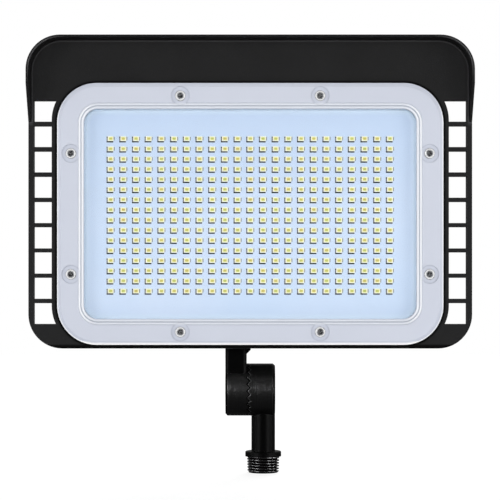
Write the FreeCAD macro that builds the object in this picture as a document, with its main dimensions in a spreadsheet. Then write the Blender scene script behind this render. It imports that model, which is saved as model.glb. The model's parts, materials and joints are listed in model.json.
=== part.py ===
import FreeCAD, Part
import os
import re
import Sketcher

# Outdoor LED flood light: a die-cast head with open ladder sides and a glare visor, carried on a
# serrated two-half knuckle that screws into a conduit box. Lengths are in millimetres.
# The thread axis is Z, its shoulder is at Z = 0, and the light shines toward -Y. Positions along the
# beam are written as "forward", which grows toward -Y.

SIZES = {
    # head casting
    "body_width": 287,
    "body_height": 201.3,
    "body_corner": 22,
    "plate_edge": 0.8,
    "front_forward": 29,
    "shell_depth": 10,
    "plate_wall": 3,
    "rail_width": 3.2,
    "rung_thick": 2.7,
    "rung_count": 8,
    "ladder_low": 15.6,
    "ladder_top": 40.9,
    "rim_side": 3.5,
    "rim_low": 2.2,
    "recess_depth": 3,
    "chamber_margin": 1.5,
    "chamber_depth": 4.5,
    "floor_thick": 4,
    "pan_wall": 3,
    "boss_depth": 13,
    # cooling fins
    "fin_count": 21,
    "fin_side": 22.3,
    "fin_thick": 2.2,
    "fin_reach": 22.5,
    "fin_margin": 6,
    "fin_slope": 20,
    # driver bay and its cover
    "bay_width": 164,
    "bay_height": 100,
    "bay_corner": 9,
    "bay_wall": 3,
    "bay_sill": 5,
    "bay_depth": 32.5,
    "cover_inset": 6.5,
    "cover_thick": 2.6,
    "cover_gasket": 1,
    # visor
    "visor_wall": 1.6,
    "visor_gap": 0.1,
    "visor_depth": 18,
    "wing_drop": 54.8,
    "wing_full": 30.3,
    "lip_edge": 0.45,
    "flange_width": 12,
    "flange_thick": 2,
    # lens frame, glass and seals
    "bezel_side": 18.85,
    "bezel_top": 29.8,
    "bezel_corner": 25.5,
    "bezel_gap": 0.3,
    "bezel_proud": 4,
    "bezel_edge": 2.6,
    "bezel_slope": 1,
    "border_side": 17.4,
    "border_level": 16.7,
    "window_corner": 9,
    "moulding_width": 4.2,
    "moulding_ledge": 2.3,
    "step_drop": 0.7,
    "step_lip": 0.08,
    "seal_thick": 0.8,
    "glass_thick": 3,
    "glass_lap": 4.6,
    "glass_gap": 0.4,
    "gasket_thick": 1.2,
    "screw_span": 90.2,
    "screw_edge": 8.3,
    "side_screw_edge": 8.95,
    "side_screw_rise": 78,
    "spot_radius": 6,
    "spot_drop": 1,
    # light engine
    "board_gap": 0.8,
    "board_thick": 1.6,
    "pad_thick": 0.4,
    "led_columns": 23,
    "led_rows": 16,
    "led_side": 16.06,
    "led_level": 18.225,
    "led_long": 3.5,
    "led_short": 3.2,
    "led_tall": 0.8,
    # driver and wiring
    "driver_side": 28,
    "driver_top": 18,
    "driver_depth": 20,
    "driver_low": 26,
    "ear_length": 11,
    "ear_thick": 2,
    "post_height": 3,
    "lead_radius": 0.9,
    "lead_reach": 12,
    # knuckle
    "drum_radius": 17.2,
    "upper_length": 15.5,
    "lower_length": 17.2,
    "drum_chamfer": 1.4,
    "axis_height": 43.9,
    "arm_reach": 28.4,
    "arm_width": 14,
    "arm_depth": 26,
    "flare_width": 2.6,
    "flare_height": 3.4,
    "base_gasket": 1,
    "bush_flange": 1.6,
    "bush_clear": 0.3,
    "base_head_radius": 3.1,
    "hub_radius": 7.3,
    "cavity_radius": 10.6,
    "cavity_end_wall": 3.2,
    "land_drop": 1.1,
    "tooth_inner": 12.8,
    "tooth_height": 1.9,
    "tooth_gap": 0.16,
    "tooth_count": 24,
    "stem_radius": 7.8,
    "collar_radius": 11.85,
    "collar_thick": 3.3,
    "thread_radius": 10.67,
    "thread_length": 10.7,
    "wire_radius": 4.5,
    "bolt_radius": 3,
    "bolt_length": 20,
    "bolt_head_radius": 5,
    "bolt_head_height": 6,
    "counterbore_depth": 8.8,
    "flat_washer_thick": 1,
    "lock_washer_thick": 1.5,
}

doc = FreeCAD.newDocument("flood_light")
sheet = doc.addObject("Spreadsheet::Sheet", "Sizes")
for row, (alias, number) in enumerate(SIZES.items(), start=1):
    sheet.set(f"A{row}", str(number))
    sheet.setAlias(f"A{row}", alias)
doc.recompute()


def linked(formula):
    """The formula with every size name pointed at the sheet."""
    return re.sub(r"\b([a-z][a-z_]*)\b(?!\()", r"Sizes.\1", formula)


def size(formula):
    """The number a formula of size names comes to."""
    return float(sheet.evalExpression(formula))


def bind(item, name, formula):
    item.setExpression(name, linked(formula))


def place(item, base):
    for axis, formula in zip("xyz", base):
        if formula != "0":
            bind(item, f"Placement.Base.{axis}", formula)


def new_body(name, base=("0", "0", "0")):
    body = doc.addObject("PartDesign::Body", name)
    body.Label = name
    place(body, base)
    return body


def origin_item(body, role):
    return next(item for item in body.Origin.OriginFeatures if item.Role == role)


def sketch(body, name, plane, offset="0"):
    """An empty sketch on one of the body's own planes, moved along the plane's normal."""
    drawn = body.newObject("Sketcher::SketchObject", name)
    drawn.AttachmentSupport = [(origin_item(body, f"{plane}_Plane"), "")]
    drawn.MapMode = "FlatFace"
    if offset != "0":
        bind(drawn, "AttachmentOffset.Base.z", offset)
    return drawn


def fix_point(drawn, item, point, across, up):
    """Holds one point of the sketch at (across, up) from the sketch's origin."""
    for kind, axis, formula in (("DistanceX", -2, across), ("DistanceY", -1, up)):
        if formula == "0":
            drawn.addConstraint(Sketcher.Constraint("PointOnObject", item, point, axis))
        else:
            rule = Sketcher.Constraint(kind, -1, 1, item, point, size(formula))
            bind(drawn, f"Constraints[{drawn.addConstraint(rule)}]", formula)


def fix_radius(drawn, item, formula):
    rule = Sketcher.Constraint("Radius", item, size(formula))
    bind(drawn, f"Constraints[{drawn.addConstraint(rule)}]", formula)


def signed(formula, sign, step):
    return f"({formula}) {'+' if sign > 0 else '-'} ({step})"


def outline(drawn, corners):
    """A closed outline through corners (across, up) or, rounded, (across, up, radius).

    A rounded corner lies between a level side and an upright one.
    """
    spots = [FreeCAD.Vector(size(corner[0]), size(corner[1]), 0) for corner in corners]
    count = len(corners)
    leave, arrive, arcs = [], [], {}
    for index, corner in enumerate(corners):
        spot = spots[index]
        if len(corner) == 2:
            arrive.append(spot)
            leave.append(spot)
            continue
        radius = size(corner[2])
        toward_last = (spots[index - 1] - spot).normalize()
        toward_next = (spots[(index + 1) % count] - spot).normalize()
        inward = toward_last + toward_next
        middle = spot + inward * radius
        arrive.append(spot + toward_last * radius)
        leave.append(spot + toward_next * radius)
        turning_left = toward_last.cross(toward_next).z < 0
        ends = (arrive[-1], leave[-1]) if turning_left else (leave[-1], arrive[-1])
        circle = Part.Circle(middle, FreeCAD.Vector(0, 0, 1), radius)
        span = [circle.parameter(end) for end in ends]
        arcs[index] = (Part.ArcOfCircle(circle, *span), inward, turning_left)
    lines = [Part.LineSegment(leave[i], arrive[(i + 1) % count]) for i in range(count)]
    sides = drawn.addGeometry(lines, False)
    for index, corner in enumerate(corners):
        before, after = sides[index - 1], sides[index]
        if index not in arcs:
            drawn.addConstraint(Sketcher.Constraint("Coincident", before, 2, after, 1))
            fix_point(drawn, after, 1, corner[0], corner[1])
            continue
        shape, inward, turning_left = arcs[index]
        arc = drawn.addGeometry(shape, False)
        first, last = (1, 2) if turning_left else (2, 1)
        drawn.addConstraint(Sketcher.Constraint("Tangent", before, 2, arc, first))
        drawn.addConstraint(Sketcher.Constraint("Tangent", arc, last, after, 1))
        across = signed(corner[0], inward.x, corner[2])
        up = signed(corner[1], inward.y, corner[2])
        fix_point(drawn, arc, 3, across, up)
        fix_radius(drawn, arc, corner[2])


def box(drawn, left, right, low, high):
    outline(drawn, [(left, low), (right, low), (right, high), (left, high)])


def round_box(drawn, width, height, corner, middle_up):
    """A rounded rectangle centred at (0, middle_up)."""
    left, right = f"-({width}) / 2", f"({width}) / 2"
    low, high = f"({middle_up}) - ({height}) / 2", f"({middle_up}) + ({height}) / 2"
    outline(
        drawn,
        [(left, low, corner), (right, low, corner), (right, high, corner), (left, high, corner)],
    )


def circles(drawn, spots, radius):
    for across, up in spots:
        middle = FreeCAD.Vector(size(across), size(up), 0)
        ring = Part.Circle(middle, FreeCAD.Vector(0, 0, 1), size(radius))
        item = drawn.addGeometry(ring, False)
        fix_point(drawn, item, 3, across, up)
        fix_radius(drawn, item, radius)


def extrude(kind, body, drawn, length, reverse=False, both=False):
    made = body.newObject(f"PartDesign::{kind}", f"{drawn.Name}_{kind.lower()}")
    made.Profile = drawn
    bind(made, "Length", length)
    made.Reversed = reverse
    if both:
        made.SideType = "Symmetric"
    body.Tip = made
    return made


def pad(body, drawn, length, reverse=False, both=False):
    return extrude("Pad", body, drawn, length, reverse, both)


def pocket(body, drawn, length, reverse=False, both=False):
    return extrude("Pocket", body, drawn, length, reverse, both)


def repeat(body, feature, axis, length, count):
    """Copies of one feature in a row along an axis of the body."""
    row_of = body.newObject("PartDesign::LinearPattern", f"{feature.Name}_row")
    row_of.Originals = [feature]
    row_of.Direction = (origin_item(body, f"{axis}_Axis"), [""])
    bind(row_of, "Length", length)
    bind(row_of, "Occurrences", count)
    body.Tip = row_of
    return row_of


def edge_names(feature, chosen):
    return [f"Edge{i}" for i, edge in enumerate(feature.Shape.Edges, start=1) if chosen(edge)]


def bevel(body, feature, chosen, width):
    """A chamfer on the edges of a feature for which chosen(edge) holds."""
    doc.recompute()
    cut = body.newObject("PartDesign::Chamfer", f"{feature.Name}_bevel")
    cut.Base = (feature, edge_names(feature, chosen))
    bind(cut, "Size", width)
    body.Tip = cut
    return cut


def flat_at(axis, formula, near=1e-4):
    """A test for edges that lie wholly in the plane axis = formula."""
    return lambda edge: all(
        abs(end - size(formula)) < near
        for end in (getattr(edge.BoundBox, f"{axis}Min"), getattr(edge.BoundBox, f"{axis}Max"))
    )


# Where the head and the knuckle sit
arm_middle = "((arm_width - upper_length - lower_length) / 2)"
HEAD = ("stem_radius - (upper_length + lower_length) / 2", "0", "axis_height + arm_reach")
KNUCKLE = ("stem_radius - lower_length", "0", "axis_height")

# Forward positions of the head's planes
shell_back = "(front_forward - shell_depth)"
seat = "(front_forward - recess_depth)"
floor_front = f"({seat} - chamber_depth)"
floor_back = f"({floor_front} - floor_thick)"
boss_back = f"({seat} - boss_depth)"
bay_back = f"({floor_back} - bay_depth)"
bezel_front = "(front_forward + bezel_proud)"
glass_back = f"({seat} + gasket_thick)"
glass_front = f"({glass_back} + glass_thick)"
seal_front = f"({glass_front} + seal_thick)"
board_back = f"({floor_front} + pad_thick)"
board_front = f"({board_back} + board_thick)"

# Outlines that more than one piece follows
bezel_width = "(body_width - 2 * bezel_side)"
bezel_height = "(body_height - rim_low - bezel_gap - bezel_top)"
window_width = f"({bezel_width} - 2 * border_side)"
window_height = f"({bezel_height} - 2 * border_level)"
driver_length = "(bay_width - 2 * driver_side)"
driver_height = "(bay_height - driver_low - driver_top)"
ladder_high = "(body_height - ladder_top)"
bezel_middle = f"(rim_low + bezel_gap + {bezel_height} / 2)"
tray_half = f"({bezel_width} / 2 + bezel_gap + rim_side)"
tray_height = f"(rim_low + 2 * bezel_gap + {bezel_height} + rim_side)"
chamber_width = f"({window_width} + 2 * chamber_margin)"
chamber_height = f"({window_height} + 2 * chamber_margin)"
chamber_corner = "(window_corner + chamber_margin)"
visor_inset = "(visor_wall + visor_gap)"
wing_low = "(body_height - wing_drop)"
rung_pitch = f"(({ladder_high} - ladder_low + rung_thick) / (rung_count + 1))"
fin_pitch = f"((2 * {tray_half} - 2 * fin_side) / (fin_count - 1))"

# Screw positions, (across, up) from the middle of the head's underside
frame_screw_spots = [
    (f"{sign} * screw_span / 2", f"{bezel_middle} {level} ({bezel_height} / 2 - screw_edge)")
    for sign in (-1, 1)
    for level in "-+"
] + [
    (f"{sign} * ({bezel_width} / 2 - side_screw_edge)", f"{bezel_middle} {level} side_screw_rise / 2")
    for sign in (-1, 1)
    for level in "-+"
]
cover_screw_spots = [
    (f"{sign} * (bay_width / 2 - cover_inset)", up)
    for sign in (-1, 1)
    for up in ("cover_inset", "bay_height / 2", "bay_height - cover_inset")
]
visor_screw_spots = [
    (f"{part} * body_width / 2", "body_height - 7.5") for part in (-0.7, -0.24, 0.24, 0.7)
]
driver_screw_up = f"(driver_low + {driver_height} * 0.3)"
driver_screw_spots = [
    (f"{sign} * ({driver_length} / 2 + ear_length - 4.5)", driver_screw_up) for sign in (-1, 1)
]
earth_spot = ("-bay_width / 2 + 17", "bay_sill + 9")
lead_spot = (f"{driver_length} / 2 + lead_reach", f"driver_low + {driver_height} * 0.75")
base_screw_reach = "(wire_radius + bush_flange + bush_clear + base_head_radius)"
base_screw_spots = [(arm_middle, f"{sign} * {base_screw_reach}") for sign in (-1, 1)]


# Main housing: one die casting with the front plate, the ladder sides, the lamp chamber, the
# cooling fins behind it and the driver bay at the bottom.
housing = new_body("main_housing", HEAD)

shell = sketch(housing, "shell_outline", "XZ", shell_back)
shell_height = f"(body_height - {visor_inset})"
round_box(
    shell,
    f"body_width - 2 * {visor_inset}",
    shell_height,
    f"body_corner - {visor_inset}",
    f"{shell_height} / 2",
)
shell_pad = pad(housing, shell, "shell_depth")
bevel(housing, shell_pad, flat_at("Y", "-front_forward"), "plate_edge")

lower_sides = sketch(housing, "lower_sides", "XZ", shell_back)
outline(
    lower_sides,
    [
        ("-body_width / 2", "0", "body_corner"),
        ("body_width / 2", "0", "body_corner"),
        ("body_width / 2", wing_low),
        ("-body_width / 2", wing_low),
    ],
)
pad(housing, lower_sides, "shell_depth")

vents = sketch(housing, "side_vents", "XZ", "front_forward")
box(vents, f"{tray_half} - 14", "body_width / 2 - rail_width", "ladder_low", ladder_high)
box(vents, "rail_width - body_width / 2", f"14 - {tray_half}", "ladder_low", ladder_high)
pocket(housing, vents, "shell_depth")

tray = sketch(housing, "tray_outline", "XZ", shell_back)
round_box(tray, f"2 * {tray_half}", tray_height, "bezel_corner + rim_low", f"{tray_height} / 2")
pad(housing, tray, "shell_depth")

rungs = sketch(housing, "ladder_rungs", "XZ", shell_back)
rung_high = f"ladder_low + {rung_pitch}"
rung_inner, rung_outer = f"{tray_half} - 1", "body_width / 2 - rail_width / 2"
box(rungs, rung_inner, rung_outer, f"{rung_high} - rung_thick", rung_high)
box(rungs, f"-({rung_outer})", f"-({rung_inner})", f"{rung_high} - rung_thick", rung_high)
first_rungs = pad(housing, rungs, "shell_depth")
repeat(housing, first_rungs, "Z", f"{rung_pitch} * (rung_count - 1)", "rung_count")

pan = sketch(housing, "chamber_pan", "XZ", floor_back)
round_box(
    pan,
    f"{chamber_width} + 2 * pan_wall",
    f"{chamber_height} + 2 * pan_wall",
    f"{chamber_corner} + pan_wall",
    bezel_middle,
)
pad(housing, pan, f"{shell_back} - {floor_back}")

bosses = sketch(housing, "frame_bosses", "XZ", boss_back)
circles(bosses, frame_screw_spots, "4.5")
pad(housing, bosses, f"{shell_back} - {boss_back}")

fin = sketch(housing, "fin_profile", "YZ", f"-(fin_count - 1) * {fin_pitch} / 2")
fin_root = f"-{shell_back} - 0.5"
fin_tip = f"fin_reach - {floor_back}"
outline(
    fin,
    [
        (fin_root, "fin_margin"),
        (fin_tip, "fin_margin + fin_slope"),
        (fin_tip, f"{tray_height} - fin_margin - fin_slope"),
        (fin_root, f"{tray_height} - fin_margin"),
    ],
)
first_fin = pad(housing, fin, "fin_thick", both=True)
repeat(housing, first_fin, "X", f"(fin_count - 1) * {fin_pitch}", "fin_count")

bay = sketch(housing, "bay_outline", "XZ", shell_back)
round_box(bay, "bay_width", "bay_height", "bay_corner", "bay_height / 2")
pad(housing, bay, f"{shell_back} - {bay_back}", reverse=True)

recess = sketch(housing, "frame_recess", "XZ", "front_forward")
round_box(
    recess,
    f"{bezel_width} + 2 * bezel_gap",
    f"{bezel_height} + 2 * bezel_gap",
    "bezel_corner + bezel_gap",
    bezel_middle,
)
pocket(housing, recess, "recess_depth")

chamber = sketch(housing, "lamp_chamber", "XZ", seat)
round_box(chamber, chamber_width, chamber_height, chamber_corner, bezel_middle)
pocket(housing, chamber, "chamber_depth")

bay_hollow = sketch(housing, "bay_hollow", "XZ", bay_back)
round_box(
    bay_hollow,
    "bay_width - 2 * bay_wall",
    "bay_height - bay_wall - bay_sill",
    "bay_corner - bay_wall",
    "(bay_height - bay_wall + bay_sill) / 2",
)
pocket(housing, bay_hollow, "bay_depth", reverse=True)

cover_bosses = sketch(housing, "cover_bosses", "XZ", bay_back)
circles(cover_bosses, cover_screw_spots, "4")
pad(housing, cover_bosses, "bay_depth")

posts = sketch(housing, "driver_posts", "XZ", floor_back)
circles(posts, driver_screw_spots, "3.6")
pad(housing, posts, "post_height", reverse=True)

earth_post = sketch(housing, "earth_post", "XZ", floor_back)
circles(earth_post, [earth_spot], "4.5")
pad(housing, earth_post, "12", reverse=True)

top_core = sketch(housing, "top_core", "XZ", shell_back)
core_low, core_high = f"{tray_height} + 1.5", f"body_height - {visor_inset} - 3"
core_side = f"(body_width / 2 - {visor_inset} - 3)"
outline(
    top_core,
    [
        (f"-{core_side}", core_low, "6"),
        (core_side, core_low, "6"),
        (core_side, core_high, "6"),
        (f"-{core_side}", core_high, "6"),
    ],
)
pocket(housing, top_core, "shell_depth - plate_wall", reverse=True)

visor_bosses = sketch(housing, "visor_bosses", "XZ", shell_back)
circles(visor_bosses, visor_screw_spots, "3.6")
pad(housing, visor_bosses, "shell_depth - plate_wall + 0.5")

frame_holes = sketch(housing, "frame_screw_holes", "XZ", seat)
circles(frame_holes, frame_screw_spots, "1.85")
pocket(housing, frame_holes, "boss_depth - 2")

cover_holes = sketch(housing, "cover_screw_holes", "XZ", bay_back)
circles(cover_holes, cover_screw_spots, "1.55")
pocket(housing, cover_holes, "12", reverse=True)

post_holes = sketch(housing, "post_holes", "XZ", f"{floor_back} - post_height")
circles(post_holes, driver_screw_spots, "1.55")
pocket(housing, post_holes, "post_height + floor_thick - 1.5", reverse=True)

earth_hole = sketch(housing, "earth_hole", "XZ", f"{floor_back} - 12")
circles(earth_hole, [earth_spot], "2.05")
pocket(housing, earth_hole, "11", reverse=True)

visor_holes = sketch(housing, "visor_holes", "XZ", shell_back)
circles(visor_holes, visor_screw_spots, "1.3")
pocket(housing, visor_holes, "shell_depth - plate_wall", reverse=True)

sill_holes = sketch(housing, "sill_holes", "XY")
circles(sill_holes, [(arm_middle, "0")], "wire_radius + 0.9")
circles(sill_holes, base_screw_spots, "2.2")
pocket(housing, sill_holes, "bay_sill", reverse=True)

lead_hole = sketch(housing, "lead_hole", "XZ", floor_back)
circles(lead_hole, [lead_spot], "3.5")
pocket(housing, lead_hole, "floor_thick", reverse=True)


# Glare visor: a thin hood wrapped flush round the top edge, with wings that run out down the sides
# and a strip behind the plate that takes its screws.
visor = new_body("glare_visor", HEAD)
hood = sketch(visor, "hood_section", "XZ", shell_back)
round_box(hood, "body_width", "body_height", "body_corner", "body_height / 2")
round_box(
    hood,
    "body_width - 2 * visor_wall",
    "body_height - 2 * visor_wall",
    "body_corner - visor_wall",
    "body_height / 2",
)
hood_pad = pad(visor, hood, "shell_depth + visor_depth")
bevel(visor, hood_pad, flat_at("Y", "-(front_forward + visor_depth)"), "lip_edge")

wing_cut = sketch(visor, "wing_cut", "YZ")
wing_front = "body_height - wing_full + (wing_drop - wing_full) / visor_depth"
outline(
    wing_cut,
    [
        (f"5 - {shell_back}", wing_low),
        ("-front_forward", wing_low),
        ("-front_forward - visor_depth - 1", wing_front),
        ("-front_forward - visor_depth - 1", "-5"),
        (f"5 - {shell_back}", "-5"),
    ],
)
pocket(visor, wing_cut, "body_width + 10", both=True)

strip = sketch(visor, "screw_strip", "XZ", f"{shell_back} - flange_thick")
strip_end = "(body_width / 2 - body_corner)"
box(strip, f"-{strip_end}", strip_end, "body_height - flange_width", "body_height")
pad(visor, strip, "flange_thick")

strip_holes = sketch(visor, "strip_holes", "XZ", shell_back)
circles(strip_holes, visor_screw_spots, "1.7")
pocket(visor, strip_holes, "flange_thick")


# Lens frame: a flat cast frame that clamps the glass, with a stepped moulding round the window and
# a spot-face under every screw head.
bezel = new_body("lens_frame", HEAD)
bezel_face = sketch(bezel, "bezel_outline", "XZ", glass_back)
round_box(bezel_face, bezel_width, bezel_height, "bezel_corner", bezel_middle)
pad(bezel, bezel_face, f"{bezel_front} - bezel_slope - {glass_back}")
sloped_face = sketch(bezel, "bezel_slope", "XZ", f"{bezel_front} - bezel_slope")
round_box(sloped_face, bezel_width, bezel_height, "bezel_corner", bezel_middle)
slope_pad = pad(bezel, sloped_face, "bezel_slope")
bind(slope_pad, "TaperAngle", "-atan(bezel_edge / bezel_slope)")



def within(edge, span, rise):
    """Whether an edge lies on or inside a box of that size centred on the window."""
    bounds, middle = edge.BoundBox, size(bezel_middle)
    across = max(abs(bounds.XMin), abs(bounds.XMax))
    up = max(abs(bounds.ZMin - middle), abs(bounds.ZMax - middle))
    return across < size(span) / 2 + 0.01 and up < size(rise) / 2 + 0.01


def moulding_step(name, top, reach):
    """One step of the moulding: a shallow recess whose upper edge is cut back at a slant."""
    step = sketch(bezel, name, "XZ", top)
    span, rise = (f"({side} + 2 * ({reach} - step_drop))" for side in (window_width, window_height))
    round_box(step, span, rise, f"window_corner + {reach} - step_drop", bezel_middle)
    cut = pocket(bezel, step, "step_drop")
    level = flat_at("Y", f"-{top}")
    bevel(bezel, cut, lambda edge: level(edge) and within(edge, span, rise), "step_drop - step_lip")


moulding_step("outer_step", bezel_front, "moulding_width")
moulding_step("inner_step", f"({bezel_front} - step_drop)", "moulding_ledge")

window = sketch(bezel, "window", "XZ", bezel_front)
round_box(window, window_width, window_height, "window_corner", bezel_middle)
pocket(bezel, window, "bezel_proud + recess_depth")

rebate = sketch(bezel, "glass_rebate", "XZ", glass_back)
round_box(
    rebate,
    f"{window_width} + 2 * (glass_lap + glass_gap)",
    f"{window_height} + 2 * (glass_lap + glass_gap)",
    "window_corner + glass_lap + glass_gap",
    bezel_middle,
)
pocket(bezel, rebate, "glass_thick + seal_thick", reverse=True)

spots = sketch(bezel, "spot_faces", "XZ", bezel_front)
circles(spots, frame_screw_spots, "spot_radius")
pocket(bezel, spots, "spot_drop")

bezel_holes = sketch(bezel, "bezel_holes", "XZ", bezel_front)
circles(bezel_holes, frame_screw_spots, "2.05")
pocket(bezel, bezel_holes, "bezel_proud + recess_depth")


def sheet_part(name, back, thick, width, height, corner):
    """A flat rounded sheet in the lamp chamber's stack, centred on the window."""
    body = new_body(name, HEAD)
    drawn = sketch(body, f"{name}_outline", "XZ", back)
    round_box(drawn, width, height, corner, bezel_middle)
    pad(body, drawn, thick)
    return body


# Tempered glass, bedded between a thin seal in front and the frame gasket behind.
glass_width = f"{window_width} + 2 * glass_lap"
glass_height = f"{window_height} + 2 * glass_lap"
glass_corner = "window_corner + glass_lap"
sheet_part("lens_glass", glass_back, "glass_thick", glass_width, glass_height, glass_corner)

seal = sheet_part("glass_seal", glass_front, "seal_thick", glass_width, glass_height, glass_corner)
seal_hole = sketch(seal, "seal_hole", "XZ", glass_front)
round_box(seal_hole, f"{window_width} + 1", f"{window_height} + 1", "window_corner + 0.5", bezel_middle)
pocket(seal, seal_hole, "seal_thick", reverse=True)

gasket = sheet_part(
    "frame_gasket",
    seat,
    "gasket_thick",
    f"{bezel_width} - 2",
    f"{bezel_height} - 2",
    "bezel_corner - 1",
)
gasket_hole = sketch(gasket, "gasket_hole", "XZ", seat)
round_box(
    gasket_hole,
    f"{chamber_width} + 0.6",
    f"{chamber_height} + 0.6",
    f"{chamber_corner} + 0.3",
    bezel_middle,
)
pocket(gasket, gasket_hole, "gasket_thick", reverse=True)
gasket_screws = sketch(gasket, "gasket_screw_holes", "XZ", seat)
circles(gasket_screws, frame_screw_spots, "2.2")
pocket(gasket, gasket_screws, "gasket_thick", reverse=True)

# Light engine: a bonded metal-core board on a thermal pad.
board_width = f"{chamber_width} - 2 * board_gap"
board_height = f"{chamber_height} - 2 * board_gap"
sheet_part("led_board", board_back, "board_thick", board_width, board_height, chamber_corner)
cool_pad = sheet_part(
    "thermal_pad", floor_front, "pad_thick", f"{board_width} - 2", f"{board_height} - 2", chamber_corner
)
pad_hole = sketch(cool_pad, "pad_hole", "XZ", floor_front)
circles(pad_hole, [lead_spot], "3.2")
pocket(cool_pad, pad_hole, "pad_thick", reverse=True)

# LED driver: a closed metal case on two ears, standing in the bay.
driver = new_body("led_driver", HEAD)
case = sketch(driver, "driver_case", "XZ", floor_back)
round_box(case, driver_length, driver_height, "3", f"driver_low + {driver_height} / 2")
pad(driver, case, "driver_depth", reverse=True)
ears = sketch(driver, "driver_ears", "XZ", f"{floor_back} - post_height")
box(
    ears,
    f"-{driver_length} / 2 - ear_length",
    f"{driver_length} / 2 + ear_length",
    f"{driver_screw_up} - 6",
    f"{driver_screw_up} + 6",
)
pad(driver, ears, "ear_thick", reverse=True)
ear_holes = sketch(driver, "ear_holes", "XZ", f"{floor_back} - post_height")
circles(ear_holes, driver_screw_spots, "1.8")
pocket(driver, ear_holes, "ear_thick")

# Rear cover of the bay, stiffened by a raised panel, on a flat gasket.
cover = new_body("rear_cover", HEAD)
cover_front = f"({bay_back} - cover_gasket)"
cover_plate = sketch(cover, "cover_plate", "XZ", cover_front)
round_box(cover_plate, "bay_width", "bay_height", "bay_corner", "bay_height / 2")
cover_pad = pad(cover, cover_plate, "cover_thick", reverse=True)
bevel(cover, cover_pad, flat_at("Y", f"cover_thick - {cover_front}"), "0.8")
panel = sketch(cover, "cover_panel", "XZ", f"{cover_front} - cover_thick")
round_box(panel, "bay_width - 30", "bay_height - 8", "bay_corner - 3", "bay_height / 2")
panel_pad = pad(cover, panel, "1.4", reverse=True)
bevel(cover, panel_pad, flat_at("Y", f"cover_thick + 1.4 - {cover_front}"), "0.9")
cover_clear = sketch(cover, "cover_clear", "XZ", cover_front)
circles(cover_clear, cover_screw_spots, "1.9")
pocket(cover, cover_clear, "cover_thick")

cover_seal = new_body("rear_cover_gasket", HEAD)
cover_ring = sketch(cover_seal, "cover_ring", "XZ", bay_back)
round_box(cover_ring, "bay_width - 1", "bay_height - 1", "bay_corner - 0.5", "bay_height / 2")
pad(cover_seal, cover_ring, "cover_gasket", reverse=True)
ring_hole = sketch(cover_seal, "ring_hole", "XZ", bay_back)
round_box(
    ring_hole,
    "bay_width - 4 * cover_inset",
    "bay_height - 4 * cover_inset",
    "bay_corner - bay_wall",
    "bay_height / 2",
)
pocket(cover_seal, ring_hole, "cover_gasket")
ring_screws = sketch(cover_seal, "ring_screws", "XZ", bay_back)
circles(ring_screws, cover_screw_spots, "1.9")
pocket(cover_seal, ring_screws, "cover_gasket")


def bush(name, base, plane, spot, through, bore, outer, flange, depth, reverse):
    """A grommet: a sleeve through a wall with a flange on the bay side."""
    body = new_body(name, base)
    flange_face = sketch(body, f"{name}_flange", plane, through)
    circles(flange_face, [spot], flange)
    pad(body, flange_face, "1.2", reverse=not reverse)
    sleeve = sketch(body, f"{name}_sleeve", plane, through)
    circles(sleeve, [spot], outer)
    pad(body, sleeve, depth, reverse=reverse)
    passage = sketch(body, f"{name}_passage", plane, through)
    circles(passage, [spot], bore)
    pocket(body, passage, f"2 * (({depth}) + 2.4)", both=True)
    return body


bush("lead_grommet", HEAD, "XZ", lead_spot, floor_back, "2.3", "3.4", "4.6", "floor_thick", False)
bush(
    "wire_bush",
    HEAD,
    "XY",
    (arm_middle, "0"),
    "bay_sill",
    "wire_radius - 0.5",
    "wire_radius + 0.8",
    "wire_radius + bush_flange",
    "bay_sill",
    True,
)


def knuckle_drum(name, towards, length):
    """Half of the knuckle drum as a plain disc that reaches to the tips of its teeth.

    towards is -1 for the half to the left of the parting plane and 1 for the half to its right.
    """
    body = new_body(name, KNUCKLE)
    blank = sketch(body, f"{name}_blank", "YZ", f"{-towards} * tooth_height / 2")
    circles(blank, [("0", "0")], "drum_radius")
    drum = pad(body, blank, f"{length} + tooth_height / 2", reverse=towards < 0)
    bevel(body, drum, flat_at("X", f"{towards} * {length}"), "drum_chamfer")
    return body


def hollow_drum(body, name, towards, length):
    """The land inside the tooth ring, and round the hub the ring-shaped cavity for the wires."""
    land = sketch(body, f"{name}_land", "YZ", f"{-towards} * tooth_height / 2")
    circles(land, [("0", "0")], "tooth_inner")
    pocket(body, land, "tooth_height / 2 + land_drop", reverse=towards > 0)
    cavity = sketch(body, f"{name}_cavity", "YZ", f"{towards} * land_drop")
    circles(cavity, [("0", "0")], "hub_radius")
    circles(cavity, [("0", "0")], "cavity_radius")
    pocket(body, cavity, f"{length} - land_drop - cavity_end_wall", reverse=towards > 0)


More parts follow.
